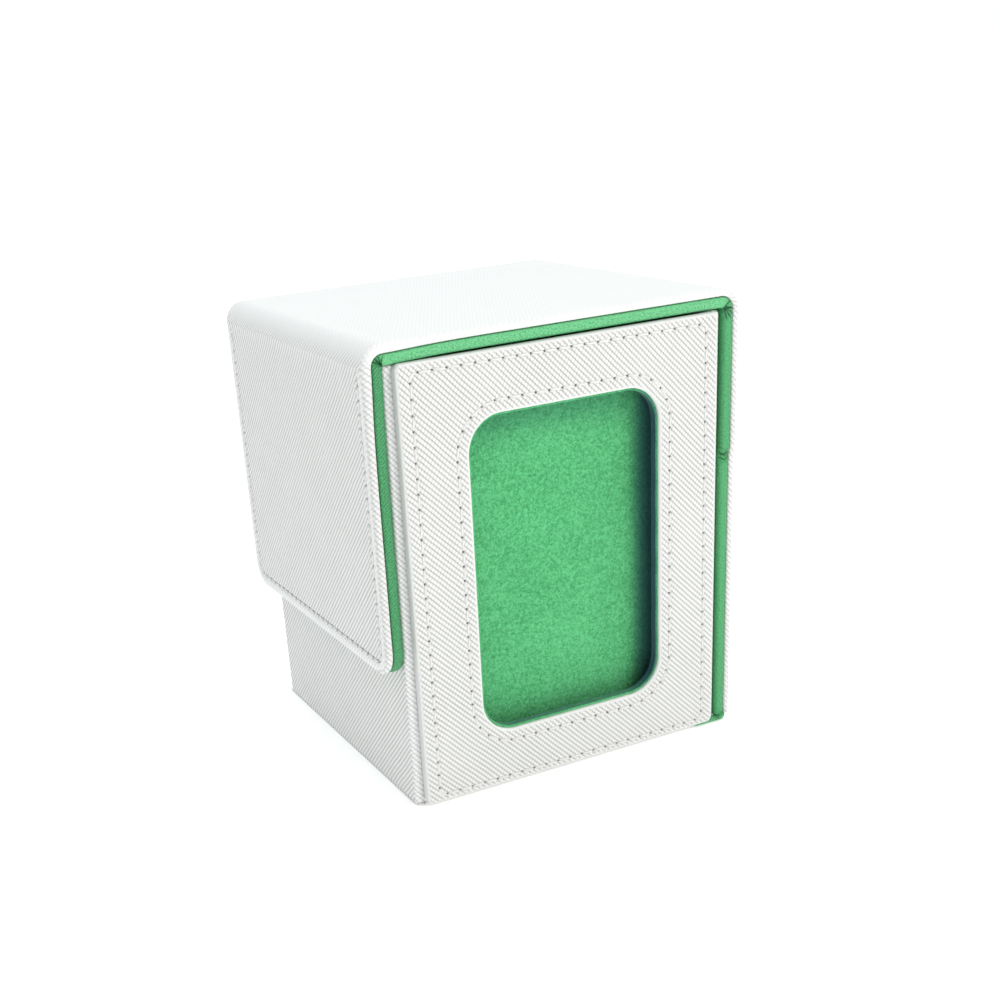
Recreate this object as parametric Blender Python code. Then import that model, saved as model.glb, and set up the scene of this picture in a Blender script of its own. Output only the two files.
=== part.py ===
"""Card deck box: a hard case with a display window, and a wrapped lid that opens on three soft folds.

Metres, +Z up. The front (window) faces -Y, the flap hangs on the -X side, the lid folds on the +X side.
The origin is the middle of the base, on the surface that the box stands on.
"""

import bpy
import bmesh
from math import cos, pi, radians, sin
from mathutils import Matrix, Vector

# ---- overall size
LID_WIDTH = 0.0914  # flap's outer face to side panel's outer face
LID_DEPTH = 0.0820  # front edge to back edge of the lid
LID_HEIGHT = 0.1040  # floor to the top of the lid
FLAP_LENGTH = 0.0714  # top of the lid to the flap's lower edge
SIDE_FOLD_HEIGHT = 0.0675  # floor to the fold in the side panel
LID_OVERHANG = 0.0014  # the lid's back edge past the case's back

# ---- layers of a lid panel, from outside to inside
COVER_EDGE = 0.0016  # leatherette wrapped round its stiffener, at the edge
COVER_FACE = 0.0008  # leatherette over the board
LINING_EDGE = 0.0023  # padded lining, at the edge
LINING_FACE = 0.0010  # padded lining under the board
LID_RIM = 0.0022  # board's edge to the panel's edge, inside the cover
GLUE_GAP = 0.0002  # between two layers that are glued together
LID_LAYERS = COVER_EDGE + GLUE_GAP + LINING_EDGE

# ---- folds of the lid
CORNER_RADIUS = 0.0046  # outside of the lid's two rounded corners
CORNER_AXIS_DEPTH = 0.0016  # fold axis below both outer faces of a corner
SIDE_FOLD_HALF = 0.0020  # half the height of the soft strip in the side panel
SIDE_AXIS_DEPTH = 0.0008  # fold axis below the side panel's outer face
FOLD_GAP = 0.0003  # soft strip to the panels beside it
FLAP_CORNER = 0.0060  # radius of the flap's lower corners
LOWER_SIDE_STEP = 0.0004  # the glued lower side panel sits this much further in
LOWER_SIDE_FOOT = 0.0008  # floor to the lower side panel

# ---- case
FLAP_CLEARANCE = 0.0005  # flap's lining to the case's left wall
TOP_CLEARANCE = 0.0004  # top panel's lining to the case's upper edge
CASE_COVER = 0.0008
BOARD = 0.0020
CASE_LINING = 0.0012
BACK_CORNER = 0.0025  # radius of the case's upright back corners

# ---- window panel and display pocket
PANEL_PROUD = 0.0013  # window panel's face in front of the lid's edge
PANEL_COVER = 0.0007
PANEL_BOARD = 0.0010
PANEL_RIM = 0.0009  # cover round the panel board's outer edge
PANEL_INSET = 0.0019  # case's side to the window panel's side
PANEL_FOOT = 0.0008  # floor to the window panel's lower edge
PANEL_CORNER = 0.0012
CASE_FRONT_GAP = 0.0003  # window panel's back to the case's front edge
WINDOW_SIDE = 0.0155  # window panel's side to the window
WINDOW_TOP = 0.0131
WINDOW_BOTTOM = 0.0132
WINDOW_RADIUS = 0.0080
WINDOW_RIM = 0.0008  # cover turned into the window
BACKING = 0.0006  # green sheet behind the window panel
BACKING_REVEAL = 0.0005  # how far the green sheet shows inside the window
POCKET_DEPTH = 0.0042  # green sheet to the back of the display pocket

# ---- seams
THREAD_WIDTH = 0.0004
SEAM_GROOVE = 0.0010
SEAM_DEPTH = 0.0004
SEAM_SIDE = 0.0032  # window panel's side to its seam
SEAM_TOP = 0.0021  # window panel's upper edge to its seam
SEAM_FOOT = 0.0016  # window panel's lower edge to its seam
WINDOW_SEAM = 0.0028  # window's edge to its seam
FLAP_SEAM = 0.0030  # flap's edge to its seam

# ---- magnets
MAGNET_RADIUS = 0.0045
MAGNET_THICK = 0.0014
MAGNET_CLEARANCE = 0.0003
MAGNET_LIFT = 0.0124  # flap's lower edge to the middle of a magnet
MAGNET_SPACING = 0.0420

# ---- dividers
DIVIDER_SIDE_GAP = 0.0021  # compartment's side to the divider
DIVIDER_HEAD_GAP = 0.0015  # divider's top to the top of the lining
DIVIDER_THICK = 0.0010
DIVIDER_CORNER = 0.0030
DIVIDER_NOTCH = 0.0060  # width of the step at each upper corner
DIVIDER_STEP = 0.0030  # height of that step
DIVIDER_FOOT_GAP = 0.0004  # compartment's floor to the divider
FRONT_DIVIDER_SHARE = 1 / 3  # place of each divider along the compartment
REAR_DIVIDER_SHARE = 2 / 3

# ---- edge rounding
COVER_BEVEL = 0.0005
ARC_STEPS = 6

# ---- places that follow from the sizes
FACE_Y = -(LID_DEPTH + PANEL_PROUD) / 2
LID_FRONT = FACE_Y + PANEL_PROUD
LID_BACK = LID_FRONT + LID_DEPTH
LID_LEFT = -LID_WIDTH / 2
LID_RIGHT = LID_WIDTH / 2
FLAP_FOOT = LID_HEIGHT - FLAP_LENGTH

CASE_LEFT = LID_LEFT + LID_LAYERS + FLAP_CLEARANCE
CASE_RIGHT = LID_RIGHT - LOWER_SIDE_STEP - LID_LAYERS - GLUE_GAP
CASE_BACK = LID_BACK - LID_OVERHANG
CASE_TOP = LID_HEIGHT - LID_LAYERS - TOP_CLEARANCE
PANEL_THICK = PANEL_COVER + GLUE_GAP + PANEL_BOARD
CASE_FRONT = FACE_Y + PANEL_THICK + CASE_FRONT_GAP

WALL = CASE_COVER + GLUE_GAP + BOARD  # cover and board of a wall
LINED_WALL = WALL + GLUE_GAP + CASE_LINING
INNER_LEFT = CASE_LEFT + LINED_WALL
INNER_RIGHT = CASE_RIGHT - LINED_WALL
INNER_BACK = CASE_BACK - LINED_WALL
INNER_FLOOR = LINED_WALL
LINING_TOP = CASE_TOP - GLUE_GAP
BOARD_TOP = CASE_TOP - CASE_COVER - GLUE_GAP

BACKING_FRONT = FACE_Y + PANEL_THICK + GLUE_GAP
POCKET_FRONT = BACKING_FRONT + BACKING
POCKET_BACK = POCKET_FRONT + POCKET_DEPTH
FRONT_BOARD = POCKET_BACK + CASE_LINING + GLUE_GAP
INNER_FRONT = FRONT_BOARD + BOARD + GLUE_GAP + CASE_LINING

PANEL_LEFT = CASE_LEFT + PANEL_INSET
PANEL_RIGHT = CASE_RIGHT - PANEL_INSET
PANEL_TOP = CASE_TOP
MAGNET_HEIGHT = FLAP_FOOT + MAGNET_LIFT
MAGNET_YS = [(LID_FRONT + LID_BACK) / 2 + side * MAGNET_SPACING / 2 for side in (-1, 1)]

SIDE_AXIS = Vector((LID_RIGHT - SIDE_AXIS_DEPTH, 0, SIDE_FOLD_HEIGHT))
TOP_AXIS = Vector((LID_RIGHT - CORNER_AXIS_DEPTH, 0, LID_HEIGHT - CORNER_AXIS_DEPTH))
FLAP_AXIS = Vector((LID_LEFT + CORNER_AXIS_DEPTH, 0, LID_HEIGHT - CORNER_AXIS_DEPTH))

# ---- finishes: colour, roughness, metallic
WHITE_COVER = ((0.86, 0.87, 0.87), 0.50, 0.0)
GREEN_LINING = ((0.06, 0.40, 0.14), 0.75, 0.0)
GREY_BOARD = ((0.34, 0.33, 0.31), 0.90, 0.0)
WHITE_THREAD = ((0.90, 0.90, 0.88), 0.60, 0.0)
MAGNET_METAL = ((0.72, 0.73, 0.75), 0.25, 1.0)
BLACK_SHEET = ((0.02, 0.02, 0.022), 0.45, 0.0)


# ---- making objects
def material(name, finish):
    """A Principled material with a colour, a roughness and a metallic value."""
    colour, roughness, metallic = finish
    made = bpy.data.materials.new(name)
    made.use_nodes = True
    shader = made.node_tree.nodes["Principled BSDF"]
    shader.inputs["Base Color"].default_value = (*colour, 1.0)
    shader.inputs["Roughness"].default_value = roughness
    shader.inputs["Metallic"].default_value = metallic
    return made


def add_object(name, verts, faces, finish, axis):
    """A mesh object from world points, hung on an empty where the piece moves."""
    mesh = bpy.data.meshes.new(name)
    shape = bmesh.new()
    made = [shape.verts.new(point) for point in verts]
    for face in faces:
        shape.faces.new([made[index] for index in face])
    bmesh.ops.recalc_face_normals(shape, faces=shape.faces)
    shape.to_mesh(mesh)
    shape.free()
    piece = bpy.data.objects.new(name, mesh)
    bpy.context.collection.objects.link(piece)
    if finish:
        mesh.materials.append(material(name, finish))
    if axis:
        piece.parent = axis
        piece.matrix_parent_inverse = Matrix.Translation(-Vector(axis["place"]))
    return piece


def add_axis(name, place, parent=None):
    """An empty on a joint's axis, which the pieces of that body hang on."""
    axis = bpy.data.objects.new(name, None)
    bpy.context.collection.objects.link(axis)
    axis["place"] = tuple(place)
    axis.empty_display_size = LID_LAYERS
    if parent:
        axis.parent = parent
        axis.location = Vector(place) - Vector(parent["place"])
    else:
        axis.location = place
    return axis


def prism(name, outline, low, high, place, finish=None, axis=None):
    """A convex outline of (u, v) points, drawn from depth low to depth high."""
    count = len(outline)
    verts = [place(u, v, depth) for depth in (low, high) for u, v in outline]
    walls = [(i, (i + 1) % count, (i + 1) % count + count, i + count) for i in range(count)]
    faces = [tuple(range(count)), tuple(range(count, 2 * count)), *walls]
    return add_object(name, verts, faces, finish, axis)


def band(name, outer, inner, closed, low, high, place, finish=None, axis=None):
    """The strip between two lines of as many points, from depth low to depth high."""
    count = len(outer)
    lines = ((outer, low), (inner, low), (inner, high), (outer, high))
    verts = [place(u, v, depth) for line, depth in lines for u, v in line]
    faces = []
    for i in range(count if closed else count - 1):
        j = (i + 1) % count
        for k in range(4):
            near, far = k * count, (k + 1) % 4 * count
            faces.append((near + i, near + j, far + j, far + i))
    if not closed:
        faces += [tuple(k * count + end for k in range(4)) for end in (0, count - 1)]
    return add_object(name, verts, faces, finish, axis)


def box(name, low, high, finish=None, axis=None):
    """A box between two corners."""
    outline = [(low[0], low[1]), (high[0], low[1]), (high[0], high[1]), (low[0], high[1])]
    return prism(name, outline, low[2], high[2], upright, finish, axis)


def cut(piece, cutter):
    """Takes the cutter's shape out of the piece."""
    cutter.hide_render = True
    cutter.display_type = "WIRE"
    modifier = piece.modifiers.new("cut " + cutter.name, "BOOLEAN")
    modifier.operation = "DIFFERENCE"
    modifier.solver = "EXACT"
    modifier.object = cutter


def round_edges(piece, width=COVER_BEVEL):
    """Rounds the piece's sharp edges. It comes before any cut."""
    modifier = piece.modifiers.new("rounded edges", "BEVEL")
    modifier.width = width
    modifier.segments = 2
    modifier.limit_method = "ANGLE"
    modifier.angle_limit = radians(50)


# ---- outlines, as (u, v) points
def rounded(u0, v0, u1, v1, radii):
    """A rectangle with one corner radius, or with four: low-low, high-low, high-high, low-high."""
    if not isinstance(radii, tuple):
        radii = (radii,) * 4
    corners = ((u0, v0, 1, 1), (u1, v0, -1, 1), (u1, v1, -1, -1), (u0, v1, 1, -1))
    points = []
    for quarter, ((u, v, du, dv), radius) in enumerate(zip(corners, radii)):
        if radius == 0:
            points.append((u, v))
            continue
        for step in range(ARC_STEPS + 1):
            turn = pi + (quarter + step / ARC_STEPS) * pi / 2
            points.append((u + du * radius + radius * cos(turn), v + dv * radius + radius * sin(turn)))
    return points


def corner_arc(centre, side, radius, gap):
    """A quarter circle from the top face to a side face, short of both by the gap."""
    short = gap / radius
    turns = [short + (pi / 2 - 2 * short) * step / ARC_STEPS for step in range(ARC_STEPS + 1)]
    return [(centre[0] + side * radius * sin(turn), centre[1] + radius * cos(turn)) for turn in turns]


# ---- from (u, v, depth) to a place in the box
def upright(u, v, depth):
    """u along X, v along Y, depth up."""
    return (u, v, depth)


def along_top(u, v, depth):
    """u along X, v along Y, depth down from the lid's top."""
    return (u, v, LID_HEIGHT - depth)


def along_flap(u, v, depth):
    """u up, v along Y, depth in from the flap's outer face."""
    return (LID_LEFT + depth, v, u)


def along_side(u, v, depth):
    """u up, v along Y, depth in from the side panel's outer face."""
    return (LID_RIGHT - depth, v, u)


def along_front(u, v, depth):
    """u along X, v up, depth back from the window panel's face."""
    return (u, FACE_Y + depth, v)


def across(u, v, depth):
    """u along X, v up, depth along Y."""
    return (u, depth, v)


# ---- the lid
def lid_panel(name, u0, u1, place, axis=None, radii=(0, 0, 0, 0), out=0.0):
    """Cover, board and lining of one lid panel, out being how deep its outer face sits."""

    def outline(inset):
        shrunk = tuple(max(radius - inset, 0) for radius in radii)
        return rounded(u0 + inset, LID_FRONT + inset, u1 - inset, LID_BACK - inset, shrunk)

    board_top = out + COVER_FACE
    lining_top = out + COVER_EDGE + GLUE_GAP
    board_foot = out + LID_LAYERS - LINING_FACE
    cover = prism(f"{name}_cover", outline(0), out, out + COVER_EDGE, place, WHITE_COVER, axis)
    lining = prism(f"{name}_lining", outline(0), lining_top, out + LID_LAYERS, place, GREEN_LINING, axis)
    for piece in (cover, lining):
        round_edges(piece)
        room = prism(f"{piece.name}_room", outline(LID_RIM - GLUE_GAP), board_top, board_foot, place)
        cut(piece, room)
    board = prism(
        f"{name}_board", outline(LID_RIM), board_top + GLUE_GAP, board_foot - GLUE_GAP, place, GREY_BOARD, axis
    )
    return cover, board


def corner_fold(name, side, axis):
    """The soft cover and lining round one upper corner of the lid, side -1 for left and 1 for right."""
    centre = (side * (LID_RIGHT - CORNER_RADIUS), LID_HEIGHT - CORNER_RADIUS)
    layers = (
        ("cover", 0, COVER_EDGE, WHITE_COVER),
        ("lining", COVER_EDGE + GLUE_GAP, LID_LAYERS, GREEN_LINING),
    )
    for layer, outside, inside, finish in layers:
        outer = corner_arc(centre, side, CORNER_RADIUS - outside, FOLD_GAP)
        gap_share = FOLD_GAP / (CORNER_RADIUS - outside)
        inner = corner_arc(centre, side, CORNER_RADIUS - inside, gap_share * (CORNER_RADIUS - inside))
        band(f"{name}_{layer}", outer, inner, False, LID_FRONT, LID_BACK, across, finish, axis)


def side_fold(axis):
    """The soft cover and lining of the fold halfway up the side panel."""
    low = SIDE_FOLD_HEIGHT - SIDE_FOLD_HALF + FOLD_GAP
    high = SIDE_FOLD_HEIGHT + SIDE_FOLD_HALF - FOLD_GAP
    strip = rounded(low, LID_FRONT, high, LID_BACK, 0)
    prism("side_fold_cover", strip, 0, COVER_EDGE, along_side, WHITE_COVER, axis)
    prism("side_fold_lining", strip, COVER_EDGE + GLUE_GAP, LID_LAYERS, along_side, GREEN_LINING, axis)


def seam_line(u0, v0, u1, v1, radii, half):
    """The outlines half a width outside and inside a line."""
    shapes = []
    for grow in (half, -half):
        grown = tuple(radius + grow for radius in radii)
        shapes.append(rounded(u0 - grow, v0 - grow, u1 + grow, v1 + grow, grown))
    return shapes


def sew(name, cover, limits, radii, place, axis=None):
    """Sinks a groove in the cover along a closed seam and lays its thread in it."""
    outer, inner = seam_line(*limits, radii, SEAM_GROOVE / 2)
    cut(cover, band(f"{name}_groove", outer, inner, True, -SEAM_DEPTH, SEAM_DEPTH, place))
    outer, inner = seam_line(*limits, radii, THREAD_WIDTH / 2)
    thread_foot = SEAM_DEPTH - GLUE_GAP
    band(name, outer, inner, True, 0, thread_foot, place, WHITE_THREAD, axis)


def sew_flap(cover, top, axis):
    """The flap's seam runs down one edge, along the lower edge and up the other."""
    limits = (FLAP_FOOT + FLAP_SEAM, LID_FRONT + FLAP_SEAM, top, LID_BACK - FLAP_SEAM)
    radius = FLAP_CORNER - FLAP_SEAM

    def open_line(grow):
        u0, v0, u1, v1 = limits
        turned = radius + grow
        lines = rounded(u0 - grow, v0 - grow, u1, v1 + grow, (turned, 0, 0, turned))
        low_corner = lines[: ARC_STEPS + 1]
        ends = lines[ARC_STEPS + 1 : ARC_STEPS + 3]
        high_corner = lines[ARC_STEPS + 3 :]
        return [ends[1], *high_corner, *low_corner, ends[0]]

    half = SEAM_GROOVE / 2
    groove = band(
        "flap_thread_groove", open_line(half), open_line(-half), False, -SEAM_DEPTH, SEAM_DEPTH, along_flap
    )
    cut(cover, groove)
    half = THREAD_WIDTH / 2
    outer, inner = open_line(half), open_line(-half)
    for line in (outer, inner):
        for end in (0, -1):
            line[end] = (line[end][0] - THREAD_WIDTH, line[end][1])
    thread_foot = SEAM_DEPTH - GLUE_GAP
    band("flap_thread", outer, inner, False, 0, thread_foot, along_flap, WHITE_THREAD, axis)


def round_outline(u, v, radius, steps=24):
    """A circle."""
    turns = [2 * pi * step / steps for step in range(steps)]
    return [(u + radius * cos(turn), v + radius * sin(turn)) for turn in turns]


def add_magnets(prefix, board, board_low, board_thick, place, axis=None):
    """Two disc magnets in holes through a board whose outer face is at depth board_low."""
    middle = board_low + board_thick / 2
    for end, y in zip(("front", "back"), MAGNET_YS):
        name = f"{prefix}_magnet_{end}"
        low = middle - MAGNET_THICK / 2
        outline = round_outline(MAGNET_HEIGHT, y, MAGNET_RADIUS)
        prism(name, outline, low, low + MAGNET_THICK, place, MAGNET_METAL, axis)
        hole = round_outline(MAGNET_HEIGHT, y, MAGNET_RADIUS + MAGNET_CLEARANCE)
        low = board_low - board_thick
        cut(board, prism(f"{name}_hole", hole, low, low + 3 * board_thick, place))


def make_lid(side_axis, top_axis, flap_axis):
    """The whole lid, from the glued lower side panel round to the flap."""
    lid_panel("lower_side", LOWER_SIDE_FOOT, SIDE_FOLD_HEIGHT - SIDE_FOLD_HALF, along_side, out=LOWER_SIDE_STEP)
    side_fold(side_axis)
    corner_foot = LID_HEIGHT - CORNER_RADIUS
    lid_panel("upper_side", SIDE_FOLD_HEIGHT + SIDE_FOLD_HALF, corner_foot, along_side, side_axis)
    corner_fold("top_fold", 1, top_axis)
    lid_panel("top", LID_LEFT + CORNER_RADIUS, LID_RIGHT - CORNER_RADIUS, along_top, top_axis)
    corner_fold("flap_fold", -1, flap_axis)
    lower_corners = (FLAP_CORNER, 0, 0, FLAP_CORNER)
    cover, board = lid_panel("flap", FLAP_FOOT, corner_foot, along_flap, flap_axis, lower_corners)
    sew_flap(cover, corner_foot - FLAP_SEAM, flap_axis)
    board_thick = LID_LAYERS - COVER_FACE - LINING_FACE - 2 * GLUE_GAP
    add_magnets("flap", board, COVER_FACE + GLUE_GAP, board_thick, along_flap, flap_axis)


# ---- the case
def make_boards():
    """The stiff boards of the case, each a glue gap inside the cover."""
    skin = CASE_COVER + GLUE_GAP
    left, right = CASE_LEFT + skin, CASE_RIGHT - skin
    front, back = CASE_FRONT + skin, CASE_BACK - skin
    floor = skin + BOARD + GLUE_GAP
    corners = (0, 0, BACK_CORNER - skin, BACK_CORNER - skin)
    prism("base_board", rounded(left, front, right, back, corners), skin, skin + BOARD, upright, GREY_BOARD)
    side_back = back - BOARD - GLUE_GAP
    left_wall = box("left_wall_board", (left, front, floor), (left + BOARD, side_back, BOARD_TOP), GREY_BOARD)
    box("right_wall_board", (right - BOARD, front, floor), (right, side_back, BOARD_TOP), GREY_BOARD)
    back_wall = rounded(left, back - BOARD, right, back, corners)
    prism("back_wall_board", back_wall, floor, BOARD_TOP, upright, GREY_BOARD)
    inner_left, inner_right = left + BOARD + GLUE_GAP, right - BOARD - GLUE_GAP
    low = (inner_left, FRONT_BOARD, floor)
    high = (inner_right, FRONT_BOARD + BOARD, BOARD_TOP)
    box("front_wall_board", low, high, GREY_BOARD)
    return left_wall


def along_left_wall(u, v, depth):
    """u up, v along Y, depth in from the case's left side."""
    return (CASE_LEFT + depth, v, u)


def make_case_cover():
    """Leatherette round three walls, turned over their front and upper edges, and a sheet under the base."""
    back_corners = (0, 0, BACK_CORNER, BACK_CORNER)
    shell = rounded(CASE_LEFT, CASE_FRONT, CASE_RIGHT, CASE_BACK, back_corners)
    foot = CASE_COVER + GLUE_GAP
    cover = prism("wall_cover", shell, foot, CASE_TOP, upright, WHITE_COVER)
    low = (CASE_LEFT + CASE_COVER, CASE_FRONT + CASE_COVER)
    high = (CASE_RIGHT - CASE_COVER, CASE_BACK - CASE_COVER)
    room = rounded(*low, *high, (0, 0, BACK_CORNER - CASE_COVER, BACK_CORNER - CASE_COVER))
    cut(cover, prism("wall_board_room", room, -foot, CASE_TOP - CASE_COVER, upright))
    inside = (CASE_LEFT + WALL, CASE_FRONT - WALL, WALL)
    inside_end = (CASE_RIGHT - WALL, CASE_BACK - WALL, CASE_TOP + WALL)
    cut(cover, box("wall_cover_inside", inside, inside_end))
    prism("base_cover", shell, 0, CASE_COVER, upright, WHITE_COVER)


def make_case_lining():
    """The green tray of the card compartment, turned over the front wall, and the tray of the pocket."""
    left, right = INNER_LEFT - CASE_LINING, INNER_RIGHT + CASE_LINING
    floor = INNER_FLOOR - CASE_LINING
    back = INNER_BACK + CASE_LINING
    above = LID_HEIGHT
    tray = box("compartment_lining", (left, FRONT_BOARD, floor), (right, back, LINING_TOP), GREEN_LINING)
    inside = (INNER_LEFT, INNER_FRONT, INNER_FLOOR)
    cut(tray, box("compartment_room", inside, (INNER_RIGHT, INNER_BACK, above)))
    wall_back = INNER_FRONT - CASE_LINING
    room_low = (left - BOARD, FRONT_BOARD - BOARD, -BOARD)
    cut(tray, box("front_wall_room", room_low, (right + BOARD, wall_back, BOARD_TOP + GLUE_GAP)))

    pocket_back = POCKET_BACK + CASE_LINING
    pocket_front = POCKET_FRONT + GLUE_GAP
    pocket = box("pocket_lining", (left, pocket_front, floor), (right, pocket_back, BOARD_TOP), GREEN_LINING)
    inside = (INNER_LEFT, FACE_Y, INNER_FLOOR)
    cut(pocket, box("pocket_room", inside, (INNER_RIGHT, POCKET_BACK, above)))


def panel_outline(inset):
    """The window panel's outline, drawn in by the inset."""
    limits = (PANEL_LEFT + inset, PANEL_FOOT + inset, PANEL_RIGHT - inset, PANEL_TOP - inset)
    return rounded(*limits, max(PANEL_CORNER - inset, PANEL_CORNER / 4))


def window_limits(grow):
    """The window's low and high corners, grown by an amount."""
    low = (PANEL_LEFT + WINDOW_SIDE - grow, PANEL_FOOT + WINDOW_BOTTOM - grow)
    high = (PANEL_RIGHT - WINDOW_SIDE + grow, PANEL_TOP - WINDOW_TOP + grow)
    return (*low, *high)


def window_outline(grow):
    """The window's outline, grown by an amount."""
    return rounded(*window_limits(grow), WINDOW_RADIUS + grow)


def make_window_panel():
    """Cover, board and green backing of the window panel, with its two seams."""
    cover = prism("window_cover", panel_outline(0), 0, PANEL_THICK, along_front, WHITE_COVER)
    round_edges(cover)
    cut(cover, prism("window_cover_window", window_outline(0), -PANEL_THICK, 2 * PANEL_THICK, along_front))
    outer = panel_outline(PANEL_RIM - GLUE_GAP)
    inner = window_outline(WINDOW_RIM - GLUE_GAP)
    room = band("window_board_room", outer, inner, True, PANEL_COVER, 2 * PANEL_THICK, along_front)
    cut(cover, room)
    outer = panel_outline(PANEL_RIM)
    inner = window_outline(WINDOW_RIM)
    low = PANEL_COVER + GLUE_GAP
    band("window_board", outer, inner, True, low, PANEL_THICK, along_front, GREY_BOARD)

    side = WALL + GLUE_GAP
    limits = (CASE_LEFT + side, side, CASE_RIGHT - side, CASE_TOP - side)
    outer = rounded(*limits, PANEL_CORNER)
    inner = window_outline(-BACKING_REVEAL)
    low = BACKING_FRONT - FACE_Y
    band("window_backing", outer, inner, True, low, low + BACKING, along_front, GREEN_LINING)

    limits = (PANEL_LEFT + SEAM_SIDE, PANEL_FOOT + SEAM_FOOT, PANEL_RIGHT - SEAM_SIDE, PANEL_TOP - SEAM_TOP)
    sew("panel_thread", cover, limits, (PANEL_CORNER,) * 4, along_front)
    radii = (WINDOW_RADIUS + WINDOW_SEAM,) * 4
    sew("window_thread", cover, window_limits(WINDOW_SEAM), radii, along_front)


# ---- the dividers
def divider_outline():
    """A portrait sheet with round lower corners and a step at each upper corner."""
    half = (INNER_RIGHT - INNER_LEFT) / 2 - DIVIDER_SIDE_GAP
    middle = (INNER_LEFT + INNER_RIGHT) / 2
    foot = INNER_FLOOR + DIVIDER_FOOT_GAP
    top = LINING_TOP - DIVIDER_HEAD_GAP
    body = rounded(middle - half, foot, middle + half, top - DIVIDER_STEP, DIVIDER_CORNER)
    tab = half - DIVIDER_NOTCH
    head = rounded(middle - tab, foot, middle + tab, top, (0, 0, DIVIDER_STEP / 2, DIVIDER_STEP / 2))
    sheet = body[: 2 * (ARC_STEPS + 1)]
    right_shoulder = body[2 * (ARC_STEPS + 1) : 3 * (ARC_STEPS + 1)]
    left_shoulder = body[3 * (ARC_STEPS + 1) :]
    right_root = (middle + tab, top - DIVIDER_STEP)
    left_root = (middle - tab, top - DIVIDER_STEP)
    return [*sheet, *right_shoulder, right_root, *head[2:], left_root, *left_shoulder]


def make_divider(name, share):
    """One divider at a share of the compartment's depth, hung on its own empty."""
    y = INNER_FRONT + share * (INNER_BACK - INNER_FRONT)
    axis = add_axis(f"{name}_slide", (0, y, INNER_FLOOR))
    low = y - DIVIDER_THICK / 2
    prism(name, divider_outline(), low, low + DIVIDER_THICK, across, BLACK_SHEET, axis)


def main():
    for old in list(bpy.data.objects):
        bpy.data.objects.remove(old, do_unlink=True)
    side_axis = add_axis("side_fold_axis", SIDE_AXIS)
    top_axis = add_axis("top_fold_axis", TOP_AXIS, side_axis)
    flap_axis = add_axis("flap_fold_axis", FLAP_AXIS, top_axis)
    left_wall = make_boards()
    add_magnets("wall", left_wall, CASE_COVER + GLUE_GAP, BOARD, along_left_wall)
    make_case_cover()
    make_case_lining()
    make_window_panel()
    make_lid(side_axis, top_axis, flap_axis)
    make_divider("front_divider", FRONT_DIVIDER_SHARE)
    make_divider("rear_divider", REAR_DIVIDER_SHARE)


main()
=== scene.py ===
"""Card deck box as it looks: white cross-grain leatherette outside, green inside, sewn with white thread.

Metres, +Z up. The window faces -Y, the flap hangs on the -X side, the lid folds on the +X side.
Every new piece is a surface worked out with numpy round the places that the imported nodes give.
"""

from math import pi, radians, sqrt

import bmesh
import bpy
import numpy as np
from mathutils import Euler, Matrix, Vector


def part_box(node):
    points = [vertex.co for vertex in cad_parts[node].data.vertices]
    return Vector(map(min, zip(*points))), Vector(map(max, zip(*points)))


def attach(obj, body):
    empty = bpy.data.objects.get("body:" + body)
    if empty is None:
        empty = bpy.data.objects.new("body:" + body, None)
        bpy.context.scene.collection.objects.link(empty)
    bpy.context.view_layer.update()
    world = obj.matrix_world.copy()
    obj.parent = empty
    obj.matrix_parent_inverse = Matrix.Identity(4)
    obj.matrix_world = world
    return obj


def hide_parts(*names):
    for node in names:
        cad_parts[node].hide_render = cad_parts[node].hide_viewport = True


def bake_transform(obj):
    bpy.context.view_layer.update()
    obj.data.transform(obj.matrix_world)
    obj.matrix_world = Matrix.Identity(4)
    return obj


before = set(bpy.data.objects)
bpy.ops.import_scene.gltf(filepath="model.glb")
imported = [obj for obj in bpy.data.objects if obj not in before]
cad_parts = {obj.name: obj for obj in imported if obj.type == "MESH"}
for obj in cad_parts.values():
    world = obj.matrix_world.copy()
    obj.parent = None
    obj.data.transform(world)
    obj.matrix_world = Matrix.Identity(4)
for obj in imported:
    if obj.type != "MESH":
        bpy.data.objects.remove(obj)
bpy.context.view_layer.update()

MM = 0.001
WELD = 1e-6


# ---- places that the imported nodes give
def span(node):
    """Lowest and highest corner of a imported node, as two arrays."""
    low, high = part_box(node)
    return np.array(low), np.array(high)


flap_low, flap_high = span("flap_cover")
top_low, top_high = span("top_cover")
side_low, side_high = span("upper_side_cover")
foot_low, foot_high = span("lower_side_cover")
lining_low, lining_high = span("flap_lining")
wall_low, wall_high = span("wall_cover")
panel_low, panel_high = span("window_cover")
backing_low, backing_high = span("window_backing")
pocket_low, pocket_high = span("pocket_lining")
room_low, room_high = span("compartment_lining")
base_low, base_high = span("base_cover")

LID_LEFT = flap_low[0]
LID_RIGHT = side_high[0]
LID_TOP = top_high[2]
LID_FRONT = top_low[1]
LID_BACK = top_high[1]
LID_MIDDLE = (LID_FRONT + LID_BACK) / 2
LID_HALF = (LID_BACK - LID_FRONT) / 2
FOLD_RADIUS = top_low[0] - LID_LEFT
COVER_RIM = flap_high[0] - LID_LEFT
LINING_RIM = lining_low[0] - LID_LEFT
LID_THICK = lining_high[0] - LID_LEFT
SIDE_STEP = LID_RIGHT - foot_high[0]

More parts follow.
